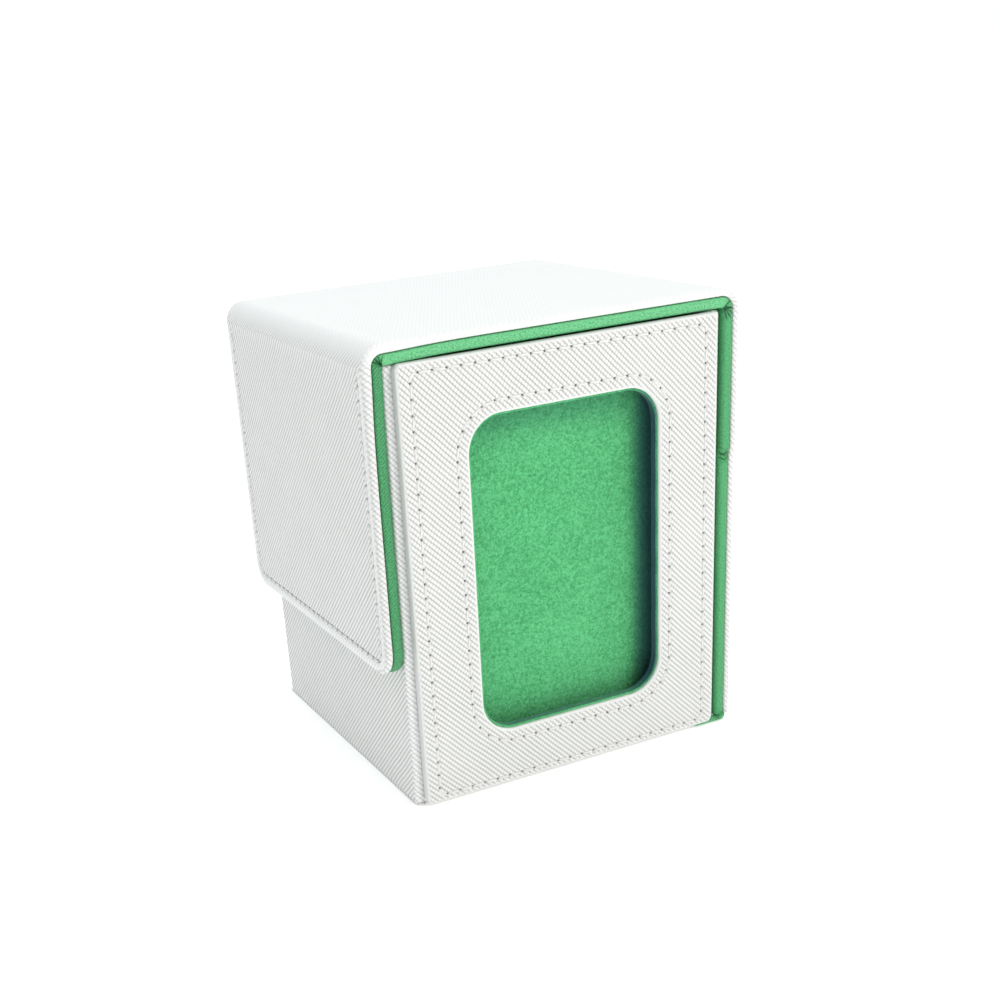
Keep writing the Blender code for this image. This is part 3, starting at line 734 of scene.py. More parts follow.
def lid_piece(name, start, stop, ends, cover, corner=0.0, seam=False):
    """One stretch of the lid's cover or lining, drawn on the flat sheet and then folded into place."""
    layer = COVER_LAYER if cover else LINING_LAYER
    rolls = COVER_ROLLS if cover else LINING_ROLLS
    length = stop - start
    insets, middle = EDGE_INSETS, 6
    if seam:
        insets, middle = np.concatenate([[6.0 * MM, 5.0 * MM], SEAM_INSET - SEAM_STEPS, [1.2 * MM]]), 240
    if "fold" in name:
        stations = np.linspace(0, length, 49)
        layer = (layer[0], layer[1], layer[1], layer[3])
    else:
        stations = lid_stations(length, rolls, ends, cover, seam)
    edge_steps = 2 if cover else 8
    along, across, depth, past = slab(
        stations, ends, LID_HALF, corner, layer, rolls, insets, middle, wall=edge_steps
    )
    along = along + start
    edge_share = smooth_step(past / (0.5 * MM))
    stretched = bell(along - (FLAP_END + TOP_START) / 2, 3.0 * MM) * 0.6
    flap_side = 1 - smooth_step((along - FLAP_END) / (2 * MM)) * 0.65
    on_top = smooth_step((along - FLAP_END) / QUARTER) * (1 - smooth_step((along - TOP_END) / QUARTER))
    # Painted light: on the top the grain's relief and its furrows' painted shade fade to 28 percent, so the
    # top is coloured lighter.
    face_grain = (1 - stretched) * (1 - 0.72 * on_top) if cover else flap_side
    grain = np.where(past > 0, 1 - 0.25 * edge_share, 1.0) * face_grain
    hole = np.zeros_like(depth)
    sheet = mirrored_sheet(along, across, past, LID_HALF, rolls[0])
    if seam:
        outside, run, _ = round_rectangle(along - SEAM_LINE[1], across, *SEAM_HALF, SEAM_RADIUS)
        sunk, hole = needle_holes(outside, run, SEAM_STITCH, 1.6)
        face = (past <= 0) & (along < start + length - 0.5 * MM)
        fade = smooth_step((start + length - along) / (3 * MM))
        bead = bell(outside - 1.5 * MM, 0.75 * MM) * 0.16 * MM
        depth = depth + np.where(face, (sunk - bead) * fade, 0)
        hole = np.where(face, hole * fade, 0)
        grain = grain * np.where(face, 1 - 0.7 * smooth_step((outside - 0.2 * MM) / (0.5 * MM)) * fade, 1)
    if cover:
        inside = smooth_step((LID_HALF - np.abs(across)) / (2 * MM))
        depth = depth + np.where(past <= 0, pressed(along), 0) * inside
    else:
        across = across - np.sign(across) * wrinkles(along, depth) * edge_share
        flat_place = lid_place(along, across, depth)
        inner = np.clip((depth - LINING_RIM) / (LID_THICK - LINING_RIM), 0, 1)
        # Painted shade in the lining's creases, which also draws them in.
        hole = creases(flat_place[..., 0], flat_place[..., 2], along, inner) * edge_share
        across = across - np.sign(across) * hole * 0.3 * MM
        # Painted shade on the flap's lining edge, darker towards its inner side.
        shaded = (1 - smooth_step((along - FLAP_END) / QUARTER)) * edge_share
        hole = np.maximum(hole, (0.10 + 0.22 * smooth_step((inner - 0.62) / 0.3)) * shaded)
    front = (across < 0) * edge_share * np.clip(depth / (1.6 * MM), 0, 1)
    depth = depth + front * swell(along)
    grid = lid_place(along, across, depth)
    # Painted light: the lid's top is coloured paler, the lining more than the cover.
    rubbed = on_top * (0.4 if cover else 0.85)
    return piece(name, grid, sheet, WHITE if cover else GREEN, grain=grain, hole=hole, rubbed=rubbed)


# the flap's seam is the lower part of a long rounded rectangle that reaches up past the flap
SEAM_LINE = (FLAP_LENGTH - SEAM_INSET, FLAP_LENGTH)
SEAM_HALF = (SEAM_LINE[0], LID_HALF - SEAM_INSET)
SEAM_RADIUS = FLAP_CORNER - SEAM_INSET
seam_quarter = (LID_HALF - FLAP_CORNER) + pi / 2 * SEAM_RADIUS + SEAM_LINE[0] - SEAM_RADIUS
SEAM_COUNT = round(4 * seam_quarter / FLAP_STITCH)
SEAM_STITCH = 4 * seam_quarter / SEAM_COUNT

LID_STRETCHES = (
    ("flap", 0.0, FLAP_END, (True, False), "flap"),
    ("top", TOP_START, TOP_END, (False, False), "top_panel"),
    ("upper_side", SIDE_START, CREASE_START, (False, False), "side_panel"),
    ("lower_side", CREASE_END, LID_END, (False, True), "case"),
)
for part, start, stop, ends, body in LID_STRETCHES:
    flap = part == "flap"
    corner = FLAP_CORNER if flap else 0.8 * MM
    for layer, slot in (("cover", "white_leatherette"), ("lining", "green_lining")):
        cover = layer == "cover"
        made = lid_piece(f"{part}_{layer}_wrap", start, stop, ends, cover, corner, flap and cover)
        settle(made, body, slot, f"{part}_{layer}")

LID_FOLDS = (
    ("flap_fold", FLAP_END, TOP_START, "flap", "top_panel"),
    ("top_fold", TOP_END, SIDE_START, "top_panel", "side_panel"),
    ("side_fold", CREASE_START, CREASE_END, "side_panel", "case"),
)
for part, start, stop, first, second in LID_FOLDS:
    for layer, slot in (("cover", "white_leatherette"), ("lining", "green_lining")):
        made = lid_piece(f"{part}_{layer}_strip", start, stop, (False, False), layer == "cover")
        ends_at = lid_place(np.array([start, stop]), np.zeros(2), np.zeros(2))
        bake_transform(made)
        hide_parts(f"{part}_{layer}")


def flap_line(length):
    """The flap's seam on the flat sheet: its point and outward direction at a length."""
    point, out = rectangle_at(length, *SEAM_HALF, SEAM_RADIUS)
    return point + np.array([SEAM_LINE[1], 0]), out


first_stitch = int(np.ceil(seam_quarter / SEAM_STITCH + 0.6))
last_stitch = int(np.floor(3 * seam_quarter / SEAM_STITCH - 0.6))


def flap_stitches(length):
    """The same line, counted from the seam's first stitch below the fold."""
    return flap_line((length + first_stitch * SEAM_STITCH) % (4 * seam_quarter))


flap_count = last_stitch - first_stitch
sew("flap_stitches", flap_stitches, flap_count * SEAM_STITCH, flap_count, lid_place, "flap", "flap_thread")


TAIL_AHEAD = 0.9 * MM


def make_tail():
    """The lining's tail at the lid's foot: a strip that curls in under the window panel's corner and narrows.

    Its middle line is a quarter circle and then a straight run; two rounded folds cross it at its root.
    """
    start = np.array([LID_RIGHT - LID_THICK + 1.6 * MM - SIDE_STEP, foot_low[2] + 0.6 * MM])
    bend = 1.1 * MM
    share = np.linspace(0, 1, 64)
    length = share * 8.6 * MM
    turn = np.clip(length / bend, 0, pi / 2)
    straight = np.clip(length - pi / 2 * bend, 0, None)
    inwards = bend * (1 - np.cos(turn)) + straight
    centre = start + np.stack([-inwards, -bend * np.sin(turn) + 0.03 * straight], -1)
    out = np.stack([np.cos(turn), -np.sin(turn)], -1)
    centre[:, 1] = np.maximum(centre[:, 1], 0.62 * MM)
    ripple = np.sin(length / (0.45 * MM)) * bell(length - 1.6 * MM, 1.6 * MM)
    thick = 0.58 * MM * (1 - 0.5 * share**2) + 0.12 * MM * ripple + 0.4 * MM * bell(length, 0.7 * MM)
    # Painted shade in the hollows of the folds.
    folds = (0.55 * np.clip(-ripple, 0, 1))[:, None]
    deep = 1.25 * MM * (1 - 0.5 * share**2)
    around = np.linspace(0, 2 * pi, 25)
    u = centre[:, :1] + out[:, :1] * thick[:, None] * np.cos(around)
    v = centre[:, 1:] + out[:, 1:] * thick[:, None] * np.cos(around)
    y = LID_FRONT - TAIL_AHEAD + deep[:, None] * (1 + np.sin(around))
    grid = np.stack([u, y, np.maximum(v, 0.02 * MM)], -1)
    sheet = np.stack([np.broadcast_to(length[:, None], u.shape), y], -1)
    made = piece("lining_tail", grid, sheet, GREEN, grain=0.4, hole=folds, rubbed=0.25)
    settle(made, "case", "green_lining")


make_tail()


# ---- the case's leatherette
WALL_RIM = 3.0 * MM
WALL_FACE = 0.8 * MM
WALL_RADIUS = 2.5 * MM
wall_depth = wall_high[1] - wall_low[1] - WALL_RADIUS
wall_width = wall_high[0] - wall_low[0] - 2 * WALL_RADIUS
WALL_QUARTER = pi / 2 * WALL_RADIUS
WALL_LENGTH = 2 * wall_depth + wall_width + 2 * WALL_QUARTER


def wall_place(up, along, depth):
    """From the walls' flat sheet to its place.

    Back along the left side, round a corner, across the back, round the other corner and forward.
    """
    along = along + WALL_LENGTH / 2
    first = np.clip((along - wall_depth) / WALL_RADIUS, 0, pi / 2)
    second = np.clip((along - wall_depth - WALL_QUARTER - wall_width) / WALL_RADIUS, 0, pi / 2)
    over = np.clip(along - wall_depth - WALL_QUARTER, 0, wall_width)
    forward = np.clip(along - wall_depth - 2 * WALL_QUARTER - wall_width, 0, None)
    x = wall_low[0] + WALL_RADIUS * (1 - np.cos(first)) + over + WALL_RADIUS * np.sin(second)
    backward = np.clip(along, 0, wall_depth)
    y = wall_low[1] + backward + WALL_RADIUS * (np.sin(first) + np.cos(second) - 1) - forward
    inner_x = np.clip(x, wall_low[0] + WALL_RIM, wall_high[0] - WALL_RIM)
    inner_y = np.minimum(y, wall_high[1] - WALL_RIM)
    share = depth / WALL_RIM
    return np.stack([x + (inner_x - x) * share, y + (inner_y - y) * share, wall_low[2] + up], -1)


def make_walls():
    """The walls' cover: one long slab, rolled over at top and front edges, bent round the back corners."""
    height = wall_high[2] - wall_low[2]
    half = WALL_LENGTH / 2
    rolls = (0.8 * MM, 0.6 * MM)
    high = roll(rolls[0], 7)[::-1]
    stations = np.unique(np.concatenate([np.linspace(0, height - 1.5 * MM, 60), height - high]).round(8))
    insets = np.array([3.0, 2.2, 1.6, 1.1]) * MM
    layer = (0.0, WALL_RIM, WALL_FACE, 1.0 * MM)
    along, across, depth, past = slab(stations, (False, True), half, 0.9 * MM, layer, rolls, insets, 260, 260)
    edge = half - rolls[0]
    over = np.where(past > 0, edge - past, np.abs(across))
    sheet = np.stack([along, np.sign(across) * over], -1)
    grid = wall_place(along, across, depth)
    grain = np.where(past > 0, 0.7, 1.0)
    # Painted light: the rolled top and front edges are coloured paler.
    rubbed = smooth_step(past / (0.3 * MM))
    return piece("wall_cover_wrap", grid, sheet, WHITE, grain=grain, hole=0.0, rubbed=rubbed)


settle(make_walls(), "case", "white_leatherette", "wall_cover")


# ---- the window panel
panel_mid = (panel_low + panel_high) / 2
panel_half = (panel_high - panel_low) / 2
window_low = np.array([panel_low[0] + WINDOW_SIDE, panel_low[2] + WINDOW_FOOT])
window_high = np.array([panel_high[0] - WINDOW_SIDE, panel_high[2] - WINDOW_TOP])
window_mid = (window_low + window_high) / 2
window_half = (window_high - window_low) / 2
seam_low = np.array([panel_low[0] + PANEL_SEAM_SIDE, panel_low[2] + PANEL_SEAM_FOOT])
seam_high = np.array([panel_high[0] - PANEL_SEAM_SIDE, panel_high[2] - PANEL_SEAM_TOP])
seam_mid = (seam_low + seam_high) / 2
seam_half = (seam_high - seam_low) / 2
PANEL_CORNER = 1.4 * MM
SEAM_CORNER = 1.2 * MM
RING_STEPS = ring_steps(200, 262, 48)


def front_place(u, v, depth):
    """Across, up, and back from the window panel's face."""
    return np.stack([u, panel_low[1] + depth, v], -1)


def make_window_cover():
    """The window panel's cover, as rings: over the rolled rim, across the face, into the window and back.

    The outer rings keep their distance from the outline, the inner ones from the window, and those
    between are shared out evenly. Two seams sink into the face.
    """
    thick = panel_high[1] - panel_low[1]
    outer_roll, inner_roll = 0.7 * MM, 0.55 * MM
    centre = np.array([panel_mid[0], panel_mid[2]])
    half = np.array([panel_half[0], panel_half[2]])
    reach = 4.6 * MM
    edge = roll(outer_roll, 7)[::-1]
    flat = np.linspace(0.9 * MM, reach, 26)
    inner_edge = roll(inner_roll, 7)
    inner_flat = np.linspace(reach, 0.75 * MM, 23)
    rows = []
    for depth in np.linspace(thick, outer_roll, 4)[:-1]:
        rows.append((centre, half, PANEL_CORNER, depth, -1))
    for inset in edge:
        rows.append((centre, half - inset, PANEL_CORNER - inset, rolled_depth(inset, outer_roll), -1))
    for inset in flat:
        rows.append((centre, half - inset, max(PANEL_CORNER - inset, 0.25 * MM), 0.0, 0))
    first, last = rows[-1], (window_mid, window_half + reach, WINDOW_RADIUS + reach)
    for share in np.linspace(0, 1, 7)[1:-1]:
        mixed = [a + (b - a) * share for a, b in zip(first[:3], last)]
        rows.append((*mixed, 0.0, 0))
    for outset in inner_flat:
        rows.append((window_mid, window_half + outset, WINDOW_RADIUS + outset, 0.0, 0))
    for outset in inner_edge:
        drop = rolled_depth(outset, inner_roll)
        rows.append((window_mid, window_half + outset, WINDOW_RADIUS + outset, drop, 1))
    for depth in np.linspace(inner_roll, thick, 4)[1:]:
        rows.append((window_mid, window_half, WINDOW_RADIUS, depth, 1))
    rim = 0.7 * MM
    room = 0.7 * MM
    rows.append((window_mid, window_half + rim, WINDOW_RADIUS + rim, thick, 1))
    rows.append((window_mid, window_half + rim + 0.05 * MM, WINDOW_RADIUS + rim, room, 1))
    rows.append((centre, half - rim - 0.05 * MM, PANEL_CORNER - rim, room, -1))
    rows.append((centre, half - rim, PANEL_CORNER - rim, thick, -1))
    rows.append(rows[0])
    centres, halves = np.array([row[0] for row in rows]), np.array([row[1] for row in rows])
    radius = np.array([row[2] for row in rows])
    depth = np.array([row[3] for row in rows])
    zone = np.array([row[4] for row in rows])
    points, out = rings(centres, halves, radius, RING_STEPS)
    u, v = points[..., 0], points[..., 1]
    depth = np.broadcast_to(depth[:, None], u.shape).copy()
    face = (zone == 0)[:, None]

    run_out, run, quarter = round_rectangle(u - seam_mid[0], v - seam_mid[1], *seam_half, SEAM_CORNER)
    count = round(4 * quarter / STITCH)
    sunk, hole = needle_holes(run_out, run, 4 * quarter / count)
    grow = WINDOW_SEAM
    inner_out, inner_run, inner_quarter = round_rectangle(
        u - window_mid[0], v - window_mid[1], *(window_half + grow), WINDOW_RADIUS + grow
    )
    inner_count = round(4 * inner_quarter / STITCH)
    inner_sunk, inner_hole = needle_holes(inner_out, inner_run, 4 * inner_quarter / inner_count)
    depth += np.where(face, sunk + inner_sunk, 0)
    # Needle holes, dark with their backing and painted shade.
    hole = np.where(face, np.clip(hole + inner_hole, 0, 1), 0)

    # the sheet runs on over both edges
    step = np.hypot(np.diff(halves[:, 0], prepend=halves[0, 0]), np.diff(depth[:, 0], prepend=depth[0, 0]))
    travelled = np.cumsum(step)
    face_rows = np.flatnonzero(zone == 0)
    before = np.clip(travelled[face_rows[0]] - travelled, 0, None)
    after = np.clip(travelled - travelled[face_rows[-1]], 0, None)
    shift = np.where((zone == -1)[:, None, None], before[:, None, None] * out, -after[:, None, None] * out)
    flat_sheet = np.where(face[..., None], points, 0)
    start_ring, end_ring = points[face_rows[0]], points[face_rows[-1]]
    flat_sheet = np.where((zone == -1)[:, None, None], start_ring[None] + shift, flat_sheet)
    flat_sheet = np.where((zone == 1)[:, None, None], end_ring[None] + shift, flat_sheet)

    from_edge = -round_rectangle(u - centre[0], v - centre[1], *half, PANEL_CORNER)[0]
    from_window = round_rectangle(u - window_mid[0], v - window_mid[1], *window_half, WINDOW_RADIUS)[0]
    grain = smooth_step((from_edge - 0.1 * MM) / (0.8 * MM))
    grain = grain * smooth_step((from_window - 0.25 * MM) / (0.6 * MM))
    grain = grain * (1 - 0.75 * bell(run_out, 0.3 * MM)) * (1 - 0.75 * bell(inner_out, 0.3 * MM))
    # Painted shade on the panel's rolled outer edge and side.
    on_side = smooth_step((0.35 * MM - from_edge) / (0.3 * MM)) * smooth_step(depth / (0.5 * MM))
    hole = np.maximum(hole, 0.19 * on_side)
    grid = front_place(u, v, depth)
    made = piece("window_cover_wrap", grid, flat_sheet, WHITE, caps=False, grain=grain, hole=hole, rubbed=0.0)
    settle(made, "case", "white_leatherette", "window_cover")

    def panel_line(length):
        point, out = rectangle_at(length, *seam_half, SEAM_CORNER)
        return point + seam_mid, out

    def window_line(length):
        point, out = rectangle_at(length, *(window_half + grow), WINDOW_RADIUS + grow)
        return point + window_mid, out

    sew("panel_stitches", panel_line, 4 * quarter, count, front_place, "case", "panel_thread")
    sew("window_stitches", window_line, 4 * inner_quarter, inner_count, front_place, "case", "window_thread")


make_window_cover()


def stacked_rings(rows, steps):
    """Points of rings given as rows of (centre, half, radius, height)."""
    centres = np.array([row[0] for row in rows])
    halves = np.array([row[1] for row in rows])
    points, out = rings(centres, halves, np.array([row[2] for row in rows]), steps)
    height = np.array([row[3] for row in rows])[:, None]
    return points[..., 0], points[..., 1], np.broadcast_to(height, points.shape[:2])


def make_backing():
    """The green sheet behind the window panel: a flat frame, its inner edge turned forward in the window."""
    thick = backing_high[1] - backing_low[1]
    centre = np.array([(backing_low[0] + backing_high[0]) / 2, (backing_low[2] + backing_high[2]) / 2])
    half = np.array([(backing_high[0] - backing_low[0]) / 2, (backing_high[2] - backing_low[2]) / 2])
    reveal = 0.5 * MM
    lip = panel_low[1] + 0.95 * MM - backing_low[1]
    touch = 0.02 * MM
    rows = [(centre, half, 1.2 * MM, thick), (centre, half, 1.2 * MM, 0.0)]
    rows += [(window_mid, window_half - touch, WINDOW_RADIUS - touch, 0.0)]
    for turn in np.linspace(0, pi, 9):
        inset = touch + (reveal - touch) * (1 - np.cos(turn)) / 2
        rows.append((window_mid, window_half - inset, WINDOW_RADIUS - inset, lip - 0.25 * MM * np.sin(turn)))
    rows.append((window_mid, window_half - reveal, WINDOW_RADIUS - reveal, lip + 0.12 * MM))
    rows.append((window_mid, window_half - reveal, WINDOW_RADIUS - reveal, thick))
    rows.append(rows[0])
    u, v, depth = stacked_rings(rows, ring_steps(60, 80, 12))
    inner = bell(np.array([row[1][0] for row in rows])[:, None] - window_half[0], 1 * MM)
    wave = 0.06 * MM * np.sin(v / (3.1 * MM) * 2 + u / (2.3 * MM)) * inner
    grid = np.stack([u + wave, backing_low[1] + depth, v], -1)
    turned = np.where(np.arange(len(rows)) < len(rows) - 3, 0.0, 1.0)[:, None]
    # Painted shade: dark at the window's right side and on the turned edge's wall all round, most at the
    # right.
    side = smooth_step((u - window_mid[0] - window_half[0] * 0.6) / (window_half[0] * 0.35))
    deep = np.clip(side * (0.45 + 0.5 * turned) + 0.62 * turned * (1 - side), 0, 1)
    made = piece("window_backing_sheet", grid, np.stack([u, v], -1), NAP, caps=False, deep=deep)
    settle(made, "case", "green_lining", "window_backing")


make_backing()


def make_tray(name, low, high, walls, floor, node):
    """A lining tray: rings up its outside, over a rolled rim, down its inside and to the floor by a fillet.

    walls is the wall's thickness at the left, right, front and back.
    """
    left, right, front, back = walls
    outer_low, outer_high = np.array(low[:2]), np.array(high[:2])
    inner_low, inner_high = outer_low + (left, front), outer_high - (right, back)
    mid_out, half_out = (outer_low + outer_high) / 2, (outer_high - outer_low) / 2
    mid_in, half_in = (inner_low + inner_high) / 2, (inner_high - inner_low) / 2
    top, bottom = high[2], low[2]
    rim = min(walls) / 2
    out_radius, in_radius = 0.5 * MM, 1.2 * MM
    chamfer = 0.3 * MM
    rows = [(mid_out, half_out - chamfer, out_radius, bottom)]
    rows += [(mid_out, half_out, out_radius, bottom + chamfer)]
    for turn in np.linspace(0, pi, 13):
        share = (1 - np.cos(turn)) / 2
        centre = mid_out + (mid_in - mid_out) * share
        half = half_out + (half_in - half_out) * share
        radius = out_radius + (in_radius - out_radius) * share
        rows.append((centre, half, radius, top - rim + rim * np.sin(turn)))
    drop = np.linspace(top - rim, floor + 1.2 * MM, 40)[1:]
    rows += [(mid_in, half_in, in_radius, z) for z in drop]
    fillet = in_radius * 0.8
    for turn in np.linspace(0, pi / 2, 6)[1:]:
        shrink = fillet * (1 - np.cos(turn))
        rise = floor + fillet - fillet * np.sin(turn)
        rows.append((mid_in, half_in - shrink, in_radius - shrink * 0.9, rise))
    u, v, z = stacked_rings(rows, ring_steps(90, 60, 6))
    grid = np.stack([u, v, z], -1)
    made = piece(name, grid, np.stack([u, z], -1), NAP, smooth=60)
    settle(made, "case", "green_lining", node)


LINING = 1.2 * MM


def make_pocket():
    """The display pocket: a sheet bent round its sides and back, open in front and at the top, and a floor.

    Seen from above, the sheet's middle line runs back, round a quarter circle, across, round and
    forward, with half the sheet's thickness on either side. The upper edge is a half circle.
    """
    half_sheet, bend = LINING / 2, 1.7 * MM
    left, right = pocket_low[0] + half_sheet, pocket_high[0] - half_sheet
    front, back = pocket_low[1] + half_sheet, pocket_high[1] - half_sheet
    arc = np.linspace(0, pi / 2, 9)
    first = np.stack([left + bend - bend * np.cos(arc), back - bend + bend * np.sin(arc)], -1)
    second = np.stack([right - bend + bend * np.sin(arc), back - bend + bend * np.cos(arc)], -1)
    sides = np.linspace(front, back - bend, 8)[:-1]
    across = np.linspace(left + bend, right - bend, 60)[1:-1]
    line = np.concatenate([
        np.stack([np.full(7, left), sides], -1), first, np.stack([across, np.full(58, back)], -1),
        second, np.stack([np.full(7, right), sides[::-1]], -1),
    ])
    ahead = np.gradient(line, axis=0)
    out = np.stack([-ahead[:, 1], ahead[:, 0]], -1)
    out = out / np.linalg.norm(out, axis=1, keepdims=True)
    tip = np.linspace(0, pi, 7)[1:-1]
    end = np.stack([np.cos(tip), -np.sin(tip)], -1)
    path = np.concatenate([line, np.repeat(line[-1:], 5, 0), line[::-1], np.repeat(line[:1], 5, 0), line[:1]])
    way = np.concatenate([out, end, -out[::-1], end * (-1, 1), out[:1]])
    rise = np.linspace(0, pi / 2, 7)
    top, bottom = pocket_high[2] - half_sheet, pocket_low[2]
    height = np.concatenate([np.linspace(bottom, top, 60)[:-1], top + half_sheet * np.sin(rise)])
    thick = np.concatenate([np.full(59, half_sheet), half_sheet * np.cos(rise)])
    points = path[None] + way[None] * thick[:, None, None]
    grid = np.concatenate([points, np.broadcast_to(height[:, None, None], points[..., :1].shape)], -1)
    # Painted shadow: darker towards the window's right edge and, less, towards the top.
    deep = smooth_step((grid[..., 0] - window_high[0] + 4.2 * MM) / (5.0 * MM)) * 0.8
    deep = np.maximum(deep, 0.30 * smooth_step((grid[..., 2] - window_high[1] + 12 * MM) / (14 * MM)))
    made = piece("pocket_sides", grid, points, NAP, smooth=60, deep=deep)
    settle(made, "case", "green_lining", "pocket_lining")
    centre = np.array([(left + right) / 2, (front + back) / 2])
    half = np.array([(right - left) / 2 - half_sheet, (back - front) / 2])
    rows = [(centre, half, 0.3 * MM, bottom), (centre, half, 0.3 * MM, bottom + LINING)]
    u, v, z = stacked_rings(rows, ring_steps(10, 4, 3))
    floor = piece("pocket_floor", np.stack([u, v, z], -1), np.stack([u, v], -1), NAP)
    settle(floor, "case", "green_lining")


make_pocket()
front_wall = span("front_wall_board")
front_thick = front_wall[1][1] - front_wall[0][1] + 0.2 * MM + LINING
room_walls = (LINING, LINING, front_thick, LINING)
room_floor = room_low[2] + LINING
make_tray("compartment_tray", room_low, room_high, room_walls, room_floor, "compartment_lining")


def make_base():
    """The leatherette under the base: a flat sheet with a softly rolled edge."""
    centre = (base_low[:2] + base_high[:2]) / 2
    half = (base_high[:2] - base_low[:2]) / 2
    thick = base_high[2] - base_low[2]
    edge = 0.3 * MM
    rows = [(centre, half - edge, 1.2 * MM, thick)]
    for turn in np.linspace(0, pi, 9):
        outline = half - edge + edge * np.sin(turn)
        rows.append((centre, outline, 1.5 * MM, thick / 2 * (1 + np.cos(turn))))
    u, v, z = stacked_rings(rows, ring_steps(30, 30, 8))
    grid = np.stack([u, v, base_low[2] + z], -1)
    made = piece("base_sheet", grid, np.stack([u, v], -1), WHITE, grain=1.0, hole=0.0, rubbed=0.0)
    settle(made, "case", "white_leatherette", "base_cover")


make_base()


def make_divider(node):
    """A black sheet with round lower corners and a step at each upper corner, its edges softly rounded."""
    low, high = span(node)
    half, tab, step, radius = (high[0] - low[0]) / 2, (high[0] - low[0]) / 2 - 6 * MM, 3 * MM, 3 * MM
    mid = (high[0] + low[0]) / 2
    arc = np.linspace(0, pi / 2, 9)
    small = 1.5 * MM

    def turned(u, v, r, start):
        return np.stack([u + r * np.cos(arc + start), v + r * np.sin(arc + start)], -1)

    shoulder = high[2] - step
    line = np.concatenate([
        turned(half - radius, low[2] + radius, radius, -pi / 2),
        turned(half - radius, shoulder - radius, radius, 0),
        [[tab, shoulder]],
        turned(tab - small, high[2] - small, small, 0),
        turned(-tab + small, high[2] - small, small, pi / 2),
        [[-tab, shoulder]],
        turned(-half + radius, shoulder - radius, radius, pi / 2),
        turned(-half + radius, low[2] + radius, radius, pi),
    ])
    line = np.concatenate([line, line[:1]])
    ahead = np.roll(line[:-1], -1, 0) - np.roll(line[:-1], 1, 0)
    out = np.stack([ahead[:, 1], -ahead[:, 0]], -1)
    out = out / np.linalg.norm(out, axis=1, keepdims=True)
    out = np.concatenate([out, out[:1]])
    soft = 0.2 * MM
    turn = np.concatenate([np.linspace(0, pi / 2, 4), np.linspace(pi / 2, pi, 4)])
    inset = soft * (1 - np.sin(turn))
    y = np.where(np.arange(8) < 4, low[1] + soft - soft * np.cos(turn), high[1] - soft - soft * np.cos(turn))
    points = line[None] - out[None] * inset[:, None, None]
    grid = np.stack([mid + points[..., 0], np.broadcast_to(y[:, None], points.shape[:2]), points[..., 1]], -1)
    made = piece(f"{node}_sheet", grid, points, BLACK)
    settle(made, node, "black_sheet", node)


make_divider("front_divider")
make_divider("rear_divider")

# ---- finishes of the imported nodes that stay
for name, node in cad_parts.items():
    if node.hide_render:
        continue
    finish = BOARD if name.endswith("_board") else METAL if "magnet" in name else NAP
    node.data.materials.clear()
    node.data.materials.append(finish)


# ---- studio
def make_floor():
    """A wide pale floor."""
    reach = 30.0
    mesh = bpy.data.meshes.new("floor")
    corners = [(-reach, -reach, 0), (reach, -reach, 0), (reach, reach, 0), (-reach, reach, 0)]
    mesh.from_pydata(corners, [], [(0, 1, 2, 3)])
    finish = Finish("pale floor", 0.9, Specular_IOR_Level=0.1)
    finish.put("Base Color", rgb(0.95, 0.95, 0.95))
    finish.put("Emission Color", rgb(1.0, 1.0, 1.0))
    finish.put("Emission Strength", 0.32)
    mesh.materials.append(finish.material)
    floor = bpy.data.objects.new("floor", mesh)
    bpy.context.collection.objects.link(floor)


make_floor()


def add_light(name, place, aim, size, power, colour=(1, 1, 1)):
    """A square soft light at a place, turned to face a point."""
    light = bpy.data.lights.new(name, "AREA")
    light.size = size
    light.energy = power
    light.color = colour
    lamp = bpy.data.objects.new(name, light)
    bpy.context.collection.objects.link(lamp)
    lamp.location = place
    direction = np.array(aim) - np.array(place)
    lamp.rotation_euler = Vector(direction).to_track_quat("-Z", "Y").to_euler()


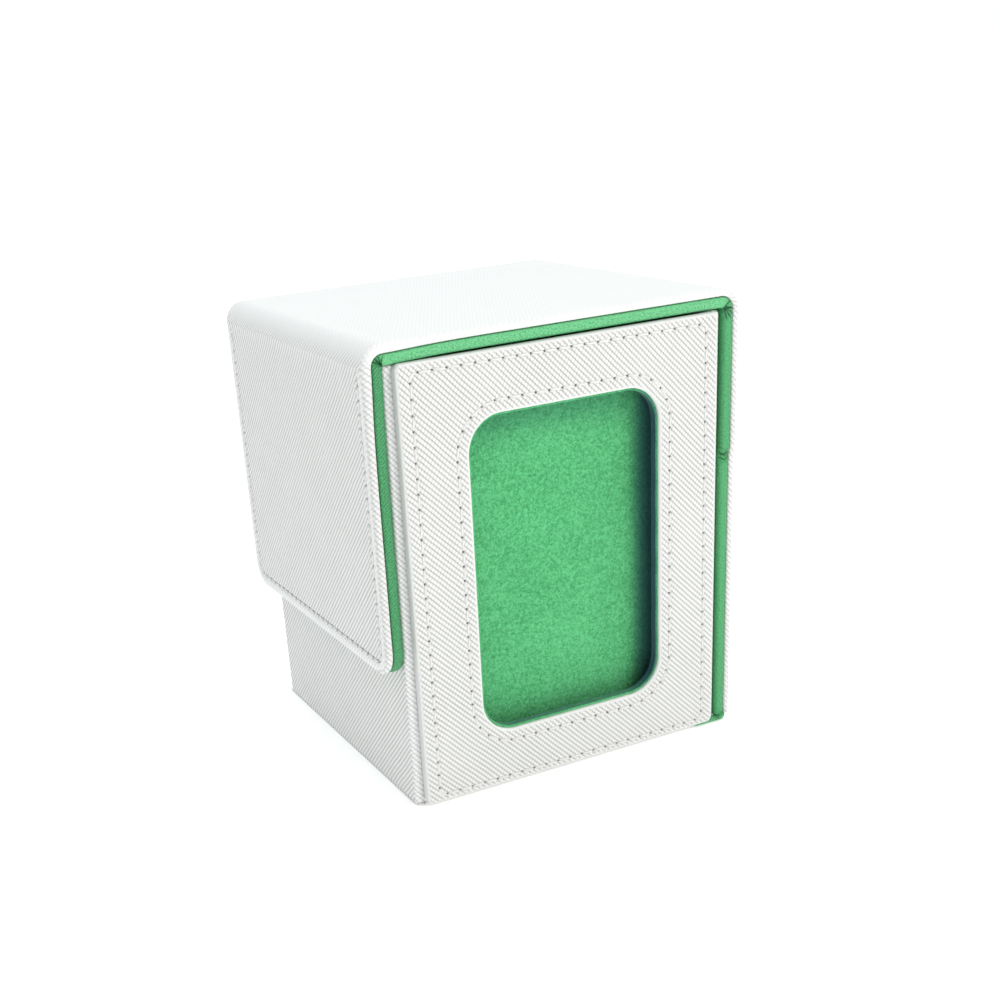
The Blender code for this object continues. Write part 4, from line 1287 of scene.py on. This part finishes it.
add_light("key", (0.42, -0.75, 0.75), (0, 0, 0.05), 0.35, 3.3, (1.0, 0.95, 0.90))
add_light("left", (-0.30, -0.85, 0.38), (0, 0, 0.05), 0.25, 0.6, (1.0, 0.965, 0.925))
add_light("top", (-0.1, 0.2, 1.2), (0, 0, 0.05), 0.7, 2.7, (0.84, 0.97, 1.0))
add_light("side", (-0.55, -0.22, 1.0), (0, 0, 0.05), 0.22, 0.36, (0.90, 0.98, 1.0))
add_light("fill", (0.30, -0.55, 0.04), (0, 0, 0.03), 0.3, 0.32, (1.0, 0.97, 0.94))


def make_sky():
    """White studio walls all round, dimmer in front of the box and at its left than behind it."""
    world = bpy.data.worlds.new("studio")
    world.use_nodes = True
    nodes, links = world.node_tree.nodes, world.node_tree.links
    place = nodes.new("ShaderNodeTexCoord")
    parts = nodes.new("ShaderNodeSeparateXYZ")
    dim = nodes.new("ShaderNodeMapRange")
    links.new(place.outputs["Generated"], parts.inputs[0])
    lean = nodes.new("ShaderNodeMath")
    lean.operation = "MULTIPLY_ADD"
    links.new(parts.outputs[0], lean.inputs[0])
    lean.inputs[1].default_value = 0.65
    links.new(parts.outputs[1], lean.inputs[2])
    links.new(lean.outputs[0], dim.inputs["Value"])
    for socket, value in (("From Min", -0.8), ("From Max", 0.5), ("To Min", 0.44), ("To Max", 1.05)):
        dim.inputs[socket].default_value = value
    background = nodes["Background"]
    background.inputs["Color"].default_value = rgb(0.97, 0.993, 1.0)
    links.new(dim.outputs[0], background.inputs["Strength"])
    bpy.context.scene.world = world


make_sky()
bpy.context.scene.view_settings.view_transform = "Standard"

CAMERA_PLACE = (-0.1527, -0.2930, 0.1516)
CAMERA_TURN = (65.61, 4.09, -26.09)
CAMERA_LENS = 49.94
CAMERA_SHIFT = (0.0809, 0.2010)
view = bpy.data.cameras.new("camera")
view.lens = CAMERA_LENS
view.sensor_width = 36
view.shift_x, view.shift_y = CAMERA_SHIFT
view.clip_start = 0.01
camera = bpy.data.objects.new("camera", view)
bpy.context.collection.objects.link(camera)
camera.location = CAMERA_PLACE
camera.rotation_euler = Euler([radians(turn) for turn in CAMERA_TURN])
bpy.context.scene.camera = camera

bpy.context.view_layer.update()
